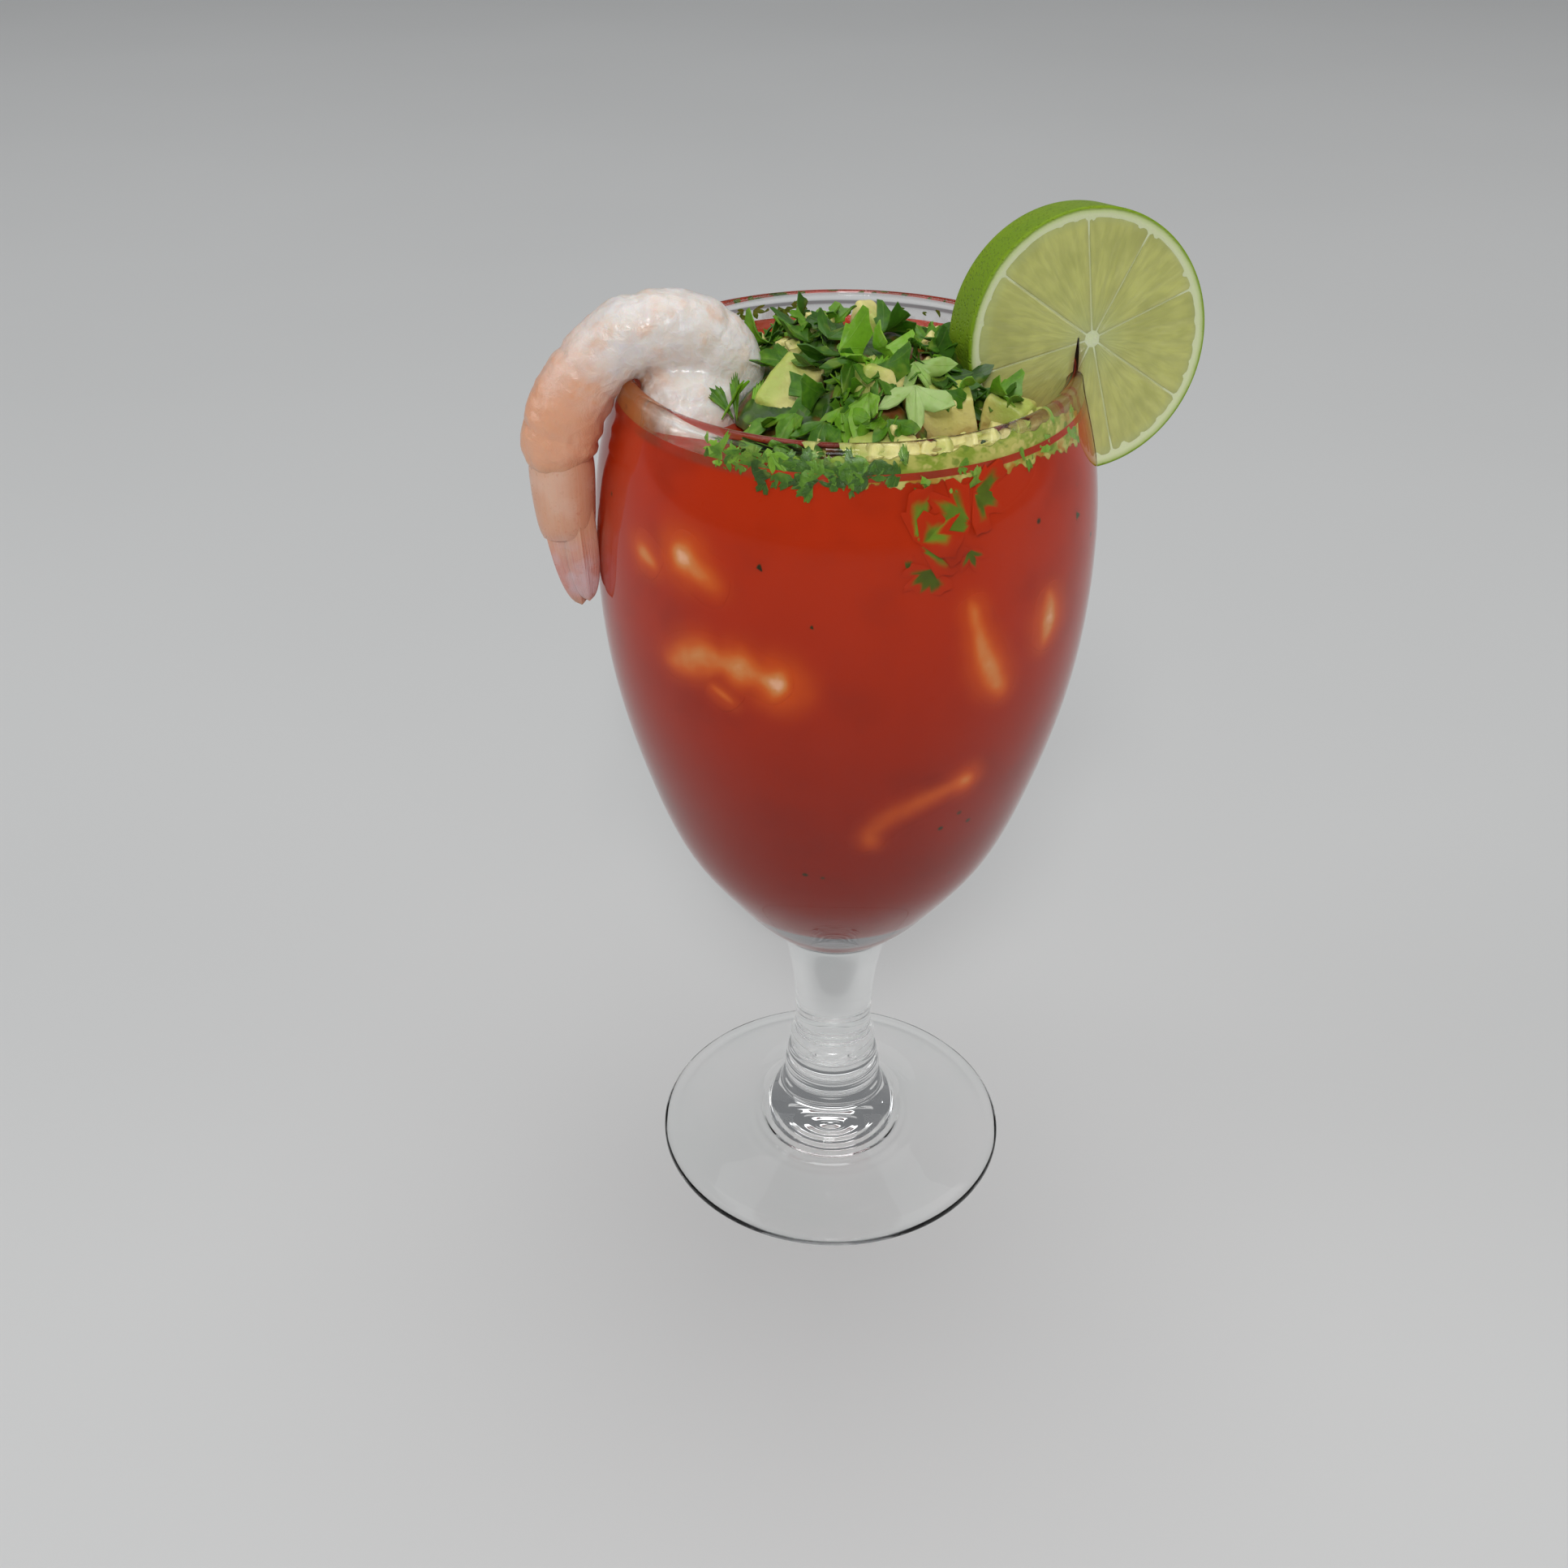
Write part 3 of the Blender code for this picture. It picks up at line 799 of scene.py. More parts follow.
class COCKTAIL_OT_sauce(bpy.types.Operator):
    """Fills the bowl with sauce up to its level"""

    bl_idname = "cocktail.sauce"
    bl_label = "Sauce"

    def execute(self, context):
        sauce = context.scene.cocktail_sauce
        edge = inside_radius(sauce.level) + sauce.reach
        surface = [(edge * share, sauce.level) for share in np.linspace(0, 1, 40)]
        heights = np.linspace(sauce.level - 0.0010, SAUCE_FINE_LOW_Z, 84)
        wall = [(float(inside_radius(z)) + sauce.reach, z) for z in heights]
        below = SAUCE_FINE_LOW_Z - SAUCE_RING_GAP
        wall += [(r + sauce.reach, z) for r, z in INSIDE[::-1] if z < below]
        floor_z = BOWL_FLOOR_Z - sauce.reach
        made = turned("sauce_body", surface + wall + [(0, floor_z)], 300)
        points = read_points(made)
        top = points[:, 2] > sauce.level - 1e-5
        side = ~top & (points[:, 2] > SAUCE_GLOW_LOW_Z)
        points[top, 2] = sauce_level_at(points[top], sauce)
        write_points(made, points)
        glow = np.zeros(len(points))
        glow[side] = near_sunk_prawns(points[side])
        note(made, "glow", glow)
        keep(made, sauce_finish(sauce), ["cocktail_sauce"])
        return {"FINISHED"}


def film_height(bearing, sauce):
    """How high the smear climbs above the sauce that way: high by the prawn, by the lime and behind."""

    def bump(middle, spread, height):
        return height * np.exp(-((turn_between(bearing, middle) / math.radians(spread)) ** 2))

    ragged = 0.16 * np.sin(23 * bearing) + 0.12 * np.sin(41 * bearing + 1) + 0.08 * np.sin(87 * bearing)
    share = 0.24 + bump(198, 36, 1.1) + bump(-14, 30, 1.1) + bump(112, 22, 0.4) + bump(60, 16, 0.3)
    return sauce.film * np.clip(share * (1 + ragged * (share < 0.7)), 0.05, 1.0)


def film_finish(sauce):
    """Thin sauce left on the glass: orange by the prawn, streaked brown by the lime, nearly clear behind."""
    finish = Finish("sauce_film", specular_ior_level=0.2)
    up, orange, brown = finish.parts_of("film")
    streak = finish.noise(finish.place((1, 1, 0.3)), 330, 3, 0.6)
    spots = finish.noise(finish.place(), 420, 2)
    body = finish.mix(streak, (0.240, 0.170, 0.110), (0.300, 0.140, 0.060))
    body = finish.mix(orange, body, finish.mix(streak, tuple(sauce.smear), (0.560, 0.120, 0.014)))
    umber = finish.mix(streak.step(0.45, 0.62), (0.330, 0.210, 0.050), (0.300, 0.060, 0.018))
    body = finish.mix(brown, body, umber)
    full = orange.math("MINIMUM", orange + brown, 1.0)
    body = finish.mix(spots.step(0.62, 0.72) * full * 0.6, body, (0.260, 0.050, 0.010))
    cover = (1 - up.step(0.45, 1.0) * (1 - full * 0.5)) * (streak + 0.02 + full * 0.42).step(0.42, 0.80)
    cover = cover * (full * 0.62 + 0.26)
    return finish.surface(body, spots * 0.2 + 0.25, finish.bump(streak, 0.0001), Alpha=cover)


class COCKTAIL_OT_sauce_film(bpy.types.Operator):
    """Smears thin sauce on the glass above the surface"""

    bl_idname = "cocktail.sauce_film"
    bl_label = "Sauce film"

    def execute(self, context):
        sauce = context.scene.cocktail_sauce

        def shape(across, along):
            bearing = math.tau * across
            up = 1 - np.abs(2 * along - 1)
            inward = 0.00014 * np.sin(math.pi * np.clip(2 * along - 1, 0, 1)) ** 0.5
            low = sauce.level - 0.0004
            height = low + (film_height(bearing, sauce) + 0.0004) * up
            return polar(inside_radius(height) + 0.00005 - inward, bearing, height)

        made = grid("sauce_film", 360, 28, shape)
        across, along = grid_shares(360, 28)
        bearing = math.tau * across
        orange = np.exp(-((turn_between(bearing, 188) / math.radians(30)) ** 4))
        brown = np.exp(-((turn_between(bearing, -16) / math.radians(36)) ** 4))
        note(made, "film", np.stack([1 - np.abs(2 * along - 1), orange, brown], axis=1))
        close(made)
        keep(made, film_finish(sauce))
        return {"FINISHED"}


def sunk_prawn(stations):
    """One prawn under the sauce's skin: its outer side lies along the wall, its inner side is rounded."""
    path = sunk_path(stations)
    rings = len(path) - 1
    bearing, height = np.radians(path[:, 0]), path[:, 1]
    reach = inside_radius(height)
    ahead = np.stack([np.gradient(bearing) * reach, np.gradient(height)], axis=1)
    ahead /= np.linalg.norm(ahead, axis=1)[:, None]
    share = np.linspace(0, 1, rings + 1)
    ends = np.sqrt(np.clip(1 - (2 * share - 1) ** 6, 0.0, 1))
    half = (path[:, 2] + SUNK_HALO * 0.75) * np.maximum(ends, 0.05)
    sides = 56

    def shape(across, along):
        ring = np.rint(along * rings).astype(int)
        swing = math.tau * across
        off = half[ring] * np.cos(swing)
        inner = np.sin(swing) < 0
        deep = np.where(inner, SUNK_DEPTH * ends[ring] * np.sin(swing), 0.0)
        lift = 0.00024 * np.clip(1 - (np.cos(swing)) ** 8, 0, 1) * (~inner)
        z = height[ring] + off * ahead[ring, 0]
        turn = bearing[ring] - off * ahead[ring, 1] / reach[ring]
        return polar(inside_radius(z) + lift + deep, turn, z)

    made = grid("sunk_prawn", sides, rings, shape)
    across, along = grid_shares(sides, rings)
    ring, swing = np.rint(along * rings).astype(int), math.tau * across
    gap = np.abs(half[ring] * np.cos(swing)) / np.maximum(path[ring, 2], 0.0003)
    cover = np.clip(path[ring, 3], 0, 1) * np.exp(-((gap / 1.25) ** 2)) * (np.sin(swing) > -0.2)
    note(made, "cover", cover)
    note(made, "glow", near_sunk_prawns(read_points(made)))
    close(made)
    return take(made)


def sunk_finish(sauce):
    """Flesh that shows through the sauce where it lies against the glass."""
    finish = Finish("sunk_prawn_flesh", specular_ior_level=0.12, roughness=0.4)
    at = finish.place()
    cover = finish.noted("cover") * (finish.noise(at, 420, 3) * 0.7 + 0.66)
    body = finish.mix(cover.step(0.05, 0.50), sauce_colour(finish, sauce), (0.680, 0.120, 0.012))
    body = finish.mix(cover.step(0.34, 0.78), body, (0.700, 0.250, 0.070))
    body = finish.mix(cover.step(0.68, 1.00), body, (0.840, 0.440, 0.260))
    return finish.surface(body)


class COCKTAIL_OT_sunk_prawns(bpy.types.Operator):
    """Lays prawns in the sauce against the wall"""

    bl_idname = "cocktail.sunk_prawns"
    bl_label = "Sunk prawns"

    def execute(self, context):
        made = joined("sunk_prawns", [sunk_prawn(stations) for stations in SUNK_PRAWNS])
        keep(made, sunk_finish(context.scene.cocktail_sauce))
        return {"FINISHED"}


# Rim prawn


def swept(name, outline, steps, bearing):
    """A closed outline of (radius, height) points swept about Z, through bearing(along) from 0 to 1."""
    corners = np.array(outline)

    def shape(across, along):
        corner = corners[np.rint(across * len(corners)).astype(int) % len(corners)]
        return polar(corner[:, 0], bearing(along), corner[:, 1])

    made = grid(name, len(corners), steps, shape)
    close(made)
    return made


def wall_room(clearance=LIP_CLEARANCE):
    """A cutter in the shape of the upper bowl wall, a little thicker on both sides."""
    lowest = LIP_CENTRE[1] - LIP_ROOM_DEPTH
    outer = [p for p in smooth_path(BOWL_OUTSIDE, 6) if p[1] > lowest]
    inner = [p for p in smooth_path(BOWL_INSIDE, 6) if p[1] > lowest]
    outline = [(r + clearance, z) for r, z in outer[:-1]]
    outline += [tuple(p) for p in arc(LIP_CENTRE, LIP_RADIUS + clearance, 0, 180, 12)]
    outline += [(r - clearance, z) for r, z in inner]
    return swept("wall_room", outline, 160, lambda along: math.tau * along)


def cut_away(made, *cutters):
    for cutter in cutters:
        apply_modifier(made, "BOOLEAN", operation="DIFFERENCE", object=cutter, solver="EXACT")
        bpy.data.objects.remove(cutter)


def prawn_axes(stations, steps, bearing):
    """Rows of middle, back, side, half thickness and half width, one for each ring along the prawn."""
    path = np.array([tuple(p) for p in smooth_path(stations, steps)])
    outward = np.array([math.cos(bearing), math.sin(bearing), 0.0])
    up = np.array([0.0, 0.0, 1.0])
    ahead = np.gradient(path[:, :2], axis=0)
    ahead /= np.linalg.norm(ahead, axis=1)[:, None]
    side = np.tile(np.cross(up, outward), (len(path), 1))
    middle = path[:, :1] * outward + path[:, 1:2] * up + path[:, 4:5] * side
    back = -ahead[:, 1:] * outward + ahead[:, :1] * up
    return middle, back, side, path[:, 2], path[:, 3]


def prawn_body(prawn):
    """The bare flesh: the curled body, the thick neck end that hangs in the glass and the fold between them,
    merged into one skin and then given its segments, lumps and belly."""
    parts = []
    for stations in (PRAWN_BODY, PRAWN_NECK, PRAWN_WEB):
        middle, back, side, thick, wide = prawn_axes(stations, 14, prawn.bearing)
        part = tube("prawn_part", 48, len(middle) - 1, middle, back, side, thick, wide)
        close(part)
        parts.append(take(part))
    made = joined("prawn_body", parts)
    apply_modifier(made, "REMESH", mode="VOXEL", voxel_size=0.00045)
    apply_modifier(made, "SMOOTH", factor=0.6, iterations=8)
    middle, back, _, _, _ = prawn_axes(PRAWN_BODY, 14, prawn.bearing)
    ahead = np.gradient(middle, axis=0)
    ahead /= np.linalg.norm(ahead, axis=1)[:, None]
    travelled = np.concatenate([[0], np.cumsum(np.linalg.norm(np.diff(middle, axis=0), axis=1))])
    points = read_points(made)
    facing = np.empty(points.size)
    made.data.vertices.foreach_get("normal", facing)
    facing = facing.reshape(-1, 3)
    ring = np.linalg.norm(points[:, None] - middle[None], axis=2).argmin(axis=1)
    away = points - middle[ring]
    at = travelled[ring] + (away * ahead[ring]).sum(axis=1)
    top = (away * back[ring]).sum(axis=1) / np.linalg.norm(away, axis=1)
    saw = (at / prawn.pitch + 0.30 + 0.05 * top) % 1.0
    groove = np.exp(-((np.minimum(saw, 1 - saw) / 0.08) ** 2)) * (0.60 + 0.40 * top)
    legs = np.exp(-(((top + 1) / 0.16) ** 2)) * np.cos(math.tau * 2 * at / prawn.pitch)
    relief = (0.5 - saw) * 0.00016 * (0.5 + 0.5 * top) - prawn.groove * groove + 0.00022 * legs
    lumps = 0.00028 * grain(points, 210, 1) + 0.00015 * grain(points, 520, 2)
    lumps = lumps + 0.00007 * grain(points, 1300, 4)
    write_points(made, points + facing * (relief + lumps - 0.00022)[:, None])
    note(made, "along", at / travelled[-1])
    note(made, "around", top)
    cut_away(made, wall_room())
    return made


def prawn_finish(prawn):
    finish = Finish(
        "prawn_flesh",
        subsurface_weight=0.30,
        subsurface_radius=(0.0030, 0.0015, 0.0010),
        subsurface_scale=1.0,
        coat_weight=0.35,
        coat_roughness=0.16,
    )
    along = finish.noted("along")
    back = finish.noted("around")
    at = finish.place()
    cloud = finish.noise(at, 130, 3, 0.55)
    fibre = finish.noise(at, 480, 4, 0.6, 0.6)
    salmon = (along + cloud * 0.20 - 0.10 + back * 0.02).step(0.56, 0.84)
    body = finish.mix(fibre.step(0.35, 0.7), tuple(prawn.flesh), (0.86, 0.82, 0.80))
    veil = finish.noise(at, 190, 2).step(0.50, 0.72) * 0.45
    body = finish.mix(veil, body, (0.70, 0.66, 0.69))
    warm = finish.noise(at, 260, 3, 0.6).step(0.54, 0.68) * 0.40
    body = finish.mix(warm, body, (0.84, 0.62, 0.46))
    flush = (1 - (along - 0.42).size().step(0.04, 0.20)) * cloud.step(0.46, 0.66) * 0.5
    body = finish.mix(flush, body, (0.84, 0.56, 0.42))
    body = finish.mix(salmon, body, tuple(prawn.salmon))
    blotch = finish.noise(at, 260, 3).step(0.50, 0.74)
    body = finish.mix(blotch * salmon * 0.45, body, (0.80, 0.36, 0.17))
    under = (0.0 - back).step(0.55, 0.93) * finish.noise(at, 420, 3).step(0.34, 0.60)
    legs = under * (1 - (along - 0.46).size().step(0.14, 0.26))
    body = finish.mix(legs * 0.9, body, (0.36, 0.130, 0.030))
    stain = (1 - (finish.height() + cloud * 0.006).step(0.1765, 0.1815)) * (1 - along.step(0.25, 0.40))
    body = finish.mix(stain * 0.4, body, (0.68, 0.28, 0.10))
    relief = fibre + cloud * 0.6
    return finish.surface(body, fibre * 0.22 + 0.22, finish.bump(relief, 0.00035, 0.9))


def shell_finish(prawn):
    finish = Finish(
        "prawn_shell",
        subsurface_weight=0.15,
        subsurface_radius=(0.002, 0.0008, 0.0005),
        subsurface_scale=1.0,
        coat_weight=0.35,
        coat_roughness=0.16,
    )
    along = finish.noted("along")
    across, _, _ = finish.parts_of("blade")
    at = finish.place()
    ribs = finish.noise(finish.node("ShaderNodeCombineXYZ", None, {0: across * 9, 1: along * 0.8}), 1.6, 2)
    freckle = finish.noise(at, 900, 2)
    cloud = finish.noise(at, 150, 2)
    low = 1 - (finish.height() + (cloud - 0.5) * 0.005).step(0.1440, 0.1560)
    body = finish.mix(cloud.step(0.35, 0.65), tuple(0.92 * c for c in prawn.salmon), (0.78, 0.47, 0.33))
    body = finish.mix(ribs.step(0.48, 0.66) * (low * 0.4 + 0.15), body, (0.80, 0.52, 0.40))
    body = finish.mix((1 - ribs.step(0.30, 0.46)) * (low * 0.5 + 0.15), body, tuple(prawn.pink))
    body = finish.mix(low * 0.62, body, (0.60, 0.25, 0.26))
    # Painted highlights: pale lavender patches low on the tail stand in for the shine there.
    pale = finish.noise(at, 230, 1).step(0.54, 0.68) * low
    body = finish.mix(pale * 0.55, body, (0.72, 0.55, 0.58))
    end = 1 - finish.height().step(0.1388, 0.1420)
    body = finish.mix(end * 0.8, body, (0.62, 0.34, 0.20))
    body = finish.mix(freckle.step(0.64, 0.74) * 0.35, body, (0.60, 0.17, 0.09))
    relief = ribs * (low * 0.8 + 0.2) + freckle * 0.2
    return finish.surface(body, freckle * 0.15 + 0.22, finish.bump(relief, 0.0003, 0.7))


def prawn_shell(prawn):
    """The last segment's shell, a thin sleeve whose front edge stands proud of the flesh."""
    middle, back, side, thick, wide = prawn_axes(PRAWN_SHELL, 10, prawn.bearing)
    rings = len(middle) - 1

    def relief(along, turn):
        keel = 0.00025 * np.exp(-((np.minimum(turn, math.tau - turn)) / 0.26) ** 2)
        return keel + 0.00012 * np.sin(3 * turn + 1) * along

    made = tube("prawn_shell", 60, rings, middle, back, side, thick, wide, relief)
    across, along = grid_shares(60, rings)
    note(made, "blade", np.stack([3 * np.sin(math.tau * across), along * 0, along * 0.25], axis=1))
    close(made)
    return take(made)


def tail_blade(prawn, shift, spread, layer, size):
    """One blade of the closed tail fan: long, thin and rounded, its face turned to the front or the back."""
    blade_length, half_width = size
    outward = np.array([math.cos(prawn.bearing), math.sin(prawn.bearing), 0.0])
    up = np.array([0, 0, 1.0])
    side = np.cross(up, outward)
    start = outward * (TAIL_ROOT[0] + shift) + up * TAIL_ROOT[1] + side * layer
    down = outward * (TAIL_TIP[0] - TAIL_ROOT[0]) + up * (TAIL_TIP[1] - TAIL_ROOT[1])
    down /= np.linalg.norm(down)
    wide_axis = np.cross(down, side)
    ahead = down * math.cos(spread) + wide_axis * math.sin(spread)
    wide_axis = np.cross(ahead, side)
    face = side * (1.0 if layer >= 0 else -1.0)

    def shape(across, along):
        swing = math.tau * across
        sheet = half_width * np.sqrt(np.clip(1 - along**3.4, 0.004, 1)) * np.cos(swing)
        body = 0.00080 * (1 - 0.6 * along) * np.sin(swing)
        keel = 0.0005 * np.exp(-((sheet / (0.16 * half_width)) ** 2)) * (1 - 0.8 * along)
        keel = keel * (np.sin(swing) > 0)
        droop = -0.24 * sheet**2 / half_width - 0.0012 * along**2
        offset = body + keel + droop
        reach = blade_length * along
        return start + ahead * reach[:, None] + wide_axis * sheet[:, None] + face * offset[:, None]

    made = grid("tail_blade", 36, 28, shape)
    across, along = grid_shares(36, 28)
    sideways = np.cos(math.tau * across)
    note(made, "along", along)
    note(made, "blade", np.stack([sideways + 1400 * shift, along * 0, along], axis=1))
    close(made)
    return take(made)


# Tail blades: shift outwards, turn outwards in radians, shift from the tail's middle to the front, and
# (length, half width).
TAIL_BLADES = (
    (0.0, 0.0, 0.0, (0.0186, 0.0036)),
    (0.0015, -0.050, 0.0022, (0.0192, 0.0033)),
    (0.0015, -0.050, -0.0022, (0.0192, 0.0033)),
    (-0.0014, 0.030, 0.0034, (0.0178, 0.0031)),
    (-0.0014, 0.030, -0.0034, (0.0178, 0.0031)),
)


class COCKTAIL_OT_rim_prawn(bpy.types.Operator):
    """Hooks the cooked prawn over the rim, with its last shell and its tail fan"""

    bl_idname = "cocktail.rim_prawn"
    bl_label = "Rim prawn"

    def execute(self, context):
        prawn = context.scene.cocktail_prawn
        keep(prawn_body(prawn), prawn_finish(prawn), ["rim_prawn"])
        finish = shell_finish(prawn)
        shell = joined("prawn_tail_shell", [prawn_shell(prawn)])
        keep(shell, finish, ["rim_prawn"])
        fan = joined("prawn_tail_fan", [tail_blade(prawn, *blade) for blade in TAIL_BLADES])
        keep(fan, finish, ["rim_prawn"])
        return {"FINISHED"}


# Lime wheel. It is modelled about its own axis: X across, Z up its face, Y from the front face backwards.

# The membranes' directions in degrees, where they meet on the face, and the gap that the rim leaves.
MEMBRANE_ANGLES = (20, 59, 94, 144, 191, 243, 283, 325)
LIME_CORE = (0.0006, 0.0004)
LIME_CLEARANCE = 0.00006


def lime_axes(lime):
    turn = Matrix.Rotation(lime.yaw, 4, "Z") @ Matrix.Rotation(-lime.lean, 4, "X")
    return Matrix.Translation(lime.middle) @ turn


def sit_on_rim(made, lime):
    """Puts a piece of the wheel where it sits on the rim, cuts its slit, and notes each point's place in
    the wheel, in millimetres."""
    axes = np.array(lime_axes(lime))
    write_points(made, read_points(made) @ axes[:3, :3].T + axes[:3, 3])
    cut_away(made, *lime_cutters())
    note(made, "wheel", (read_points(made) - axes[:3, 3]) @ axes[:3, :3] * 1000)


def wheel_turned(name, outline, sides=180):
    """Spins an outline of (radius, depth) about the wheel's axis."""
    made = turned(name, outline, sides)
    points = read_points(made)
    write_points(made, np.stack([points[:, 0], points[:, 2], -points[:, 1]], axis=1))
    close(made)
    return made


def lime_cutters():
    """The room for the wall, and the thin knife slit that goes on from it towards the core."""
    top = LIP_CENTRE[1] + LIP_RADIUS
    half = ((0.00030, -0.0040), (0.00042, 0.0006), (0.00034, 0.0030), (0.00012, 0.0056))
    outline = [(LIP_CENTRE[0] + r, top + z) for r, z in half]
    outline += [(LIP_CENTRE[0] - r, top + z) for r, z in half[::-1]]
    slit = swept("knife_slit", outline, 60, lambda along: np.radians(-40 + 70 * along))
    return wall_room(LIME_CLEARANCE), slit


def slit_stain(finish, body):
    """A brownish tinge on the cut sides near the slit and the rim."""
    at = finish.node("ShaderNodeTexCoord", output="Object")
    x, y, z = [finish.node("ShaderNodeSeparateXYZ", None, {0: at}, axis) for axis in "XYZ"]
    reach = (x * x + y * y) ** 0.5
    near = 1 - (reach - LIP_CENTRE[0]).size().step(0.0002, 0.0016)
    low = 1 - z.step(LIP_CENTRE[1] + 0.0020, LIP_CENTRE[1] + 0.0075)
    return finish.mix(near * low * 0.75, body, (0.235, 0.110, 0.020))


def rind_finish(lime):
    finish = Finish(
        "lime_rind",
        coat_weight=0.04,
        coat_roughness=0.3,
        specular_ior_level=0.12,
        subsurface_weight=0.1,
        subsurface_radius=(0.001, 0.0014, 0.0005),
        subsurface_scale=1.0,
    )
    x, _, z = finish.parts_of("wheel")
    out = (x * x + z * z) ** 0.5
    at = finish.noted("wheel", "Vector")
    cloud = finish.noise(at, 0.16, 3)
    pores = finish.cells(at, 1.5)
    # The rind is darker in random patches, and has painted shade that grows towards the wheel's left side (x
    # below 0).
    skin = finish.mix((cloud + x * 0.004).step(0.34, 0.66), tuple(lime.dark_and_shaded_rind), tuple(lime.rind))
    skin = finish.mix(pores.step(0.0, 0.32) * 0.35, (0.20, 0.31, 0.02), skin)
    wave = finish.noise(at, 0.4, 2) * 0.25
    edge = lime.radius * 1000
    inner = (out + wave).step(edge - 0.65, edge - 0.15)
    fibre = finish.noise(at, 2.2, 3)
    white = finish.mix(fibre, tuple(lime.pith), (0.66, 0.70, 0.46))
    white = finish.mix((out + wave).step(edge - 1.3, edge - 0.5) * 0.55, white, (0.40, 0.52, 0.12))
    body = slit_stain(finish, finish.mix(inner, white, skin))
    relief = pores.step(0.0, 0.45) * inner + fibre * 0.3
    return finish.surface(body, fibre * 0.2 + 0.26, finish.bump(relief, 0.00022, 0.8))


def pith_finish(lime):
    finish = Finish(
        "lime_pith",
        subsurface_weight=0.2,
        subsurface_radius=(0.002, 0.002, 0.001),
        subsurface_scale=1.0,
        coat_weight=0.1,
    )
    at = finish.noted("wheel", "Vector")
    fibre = finish.noise(at, 2.0, 4, 0.6)
    x, _, z = finish.parts_of("wheel")
    out = (x * x + z * z) ** 0.5
    pale = finish.mix(fibre.step(0.3, 0.75), tuple(lime.pith), (0.70, 0.75, 0.50))
    spoke = (1 - out.step(16.5, 20.0)) * out.step(1.6, 3.6)
    body = finish.mix(spoke * 0.75, pale, (0.60, 0.63, 0.26))
    body = slit_stain(finish, body)
    return finish.surface(body, fibre * 0.25 + 0.3, finish.bump(fibre, 0.0003, 0.8))


def pulp_finish(lime):
    """Juice sacs: long drops that point at the core, close in tone, paler towards the core and the pith."""
    finish = Finish(
        "lime_pulp",
        subsurface_weight=0.35,
        subsurface_radius=(0.0030, 0.0032, 0.0012),
        subsurface_scale=1.0,
        coat_weight=0.5,
        coat_roughness=0.10,
    )
    x, depth, z = finish.parts_of("wheel")
    x = x - LIME_CORE[0] * 1000
    z = z - LIME_CORE[1] * 1000
    out = (x * x + z * z) ** 0.5
    bearing = x.math("ARCTAN2", z, x)
    spokes = finish.node("ShaderNodeCombineXYZ", None, {0: bearing * 5.5, 1: out * 0.085, 2: depth * 0.25})
    sacs = finish.noise(spokes, 2.6, 2, 0.5, 0.4)
    fine = finish.noise(spokes, 7.0, 3, 0.6)
    cloud = finish.noise(finish.noted("wheel", "Vector"), 0.16, 2)
    body = finish.mix(sacs.step(0.30, 0.70), tuple(lime.flesh), tuple(0.84 * c for c in lime.flesh))
    body = finish.mix(fine.step(0.56, 0.80) * 0.32, body, (0.52, 0.53, 0.22))
    body = finish.mix(cloud.step(0.40, 0.70) * 0.45, body, (0.345, 0.36, 0.10))
    body = finish.mix((1 - out.step(1.5, 8.0)) * 0.45, body, (0.46, 0.53, 0.22))
    edge = lime.pulp * 1000
    body = finish.mix(out.step(edge - 2.2, edge - 0.4) * 0.40, body, (0.46, 0.53, 0.22))
    body = slit_stain(finish, body)
    relief = sacs + fine * 0.4
    return finish.surface(body, fine * 0.12 + 0.14, finish.bump(relief, 0.00022, 0.6))


def lime_segment(lime, start, end, index):
    """One segment: a rounded wedge through the wheel, domed on both faces and ridged towards the core."""
    gap = 0.00015
    inner, outer = 0.0014, lime.pulp - gap
    first, last = math.radians(start), math.radians(end)
    core = np.array(LIME_CORE)

    def edge_point(radius, angle, shift):
        along = np.array([np.cos(angle), np.sin(angle)])
        away = np.array([-np.sin(angle), np.cos(angle)])
        return core + along * radius + away * shift

    def rim_reach(angle):
        """How far the pulp's circle is from the core that way."""
        along = np.array([math.cos(angle), math.sin(angle)])
        dot = float(core @ along)
        return -dot + math.sqrt(dot**2 - float(core @ core) + outer**2)

    inset = 0.0005
    low_side = [edge_point(r, first, gap) for r in np.linspace(inner, rim_reach(first) - inset, 26)]
    swing = np.linspace(first + 0.03, last - 0.03, 26)
    top_side = [edge_point(rim_reach(a), a, 0) for a in swing]
    high_side = [edge_point(r, last, -gap) for r in np.linspace(rim_reach(last) - inset, inner, 26)]
    ring = np.array(low_side + top_side + high_side)
    middle = ring.mean(axis=0) * 0.5 + edge_point(0.011, (first + last) / 2, 0) * 0.5
    count = len(ring)
    half = lime.thickness / 2
    rows = 34

    def shape(across, along):
        corner = ring[np.rint(across * count).astype(int) % count]
        level = np.clip((along - 0.5) * 2, -1, 1)
        share = np.clip((1 - np.abs(level)) / 0.62, 0, 1)
        flat = middle + (corner - middle) * (np.sin(share * math.pi / 2) ** 0.85)[:, None]
        edge = ease(0.0, 0.10, 1 - share)
        face = 0.955 + 0.045 * np.sqrt(edge)
        depth = half * np.where(share < 1, face, 0.955 * np.minimum(np.abs(level) / 0.38, 1))
        side = np.where(level < 0, -1, 1)
        x, z = flat[:, 0] - core[0], flat[:, 1] - core[1]
        bearing, reach = np.arctan2(z, x), np.hypot(x, z)
        waves = np.array([noise.noise(Vector((b * 11, r * 160, index))) for b, r in zip(bearing, reach)])
        relief = 0.00010 * waves * edge - 0.00014
        return np.stack([flat[:, 0], half + side * (depth + relief), flat[:, 1]], axis=1)

    made = grid("segment", count, rows, shape)
    close(made, 2e-6)
    return take(made)


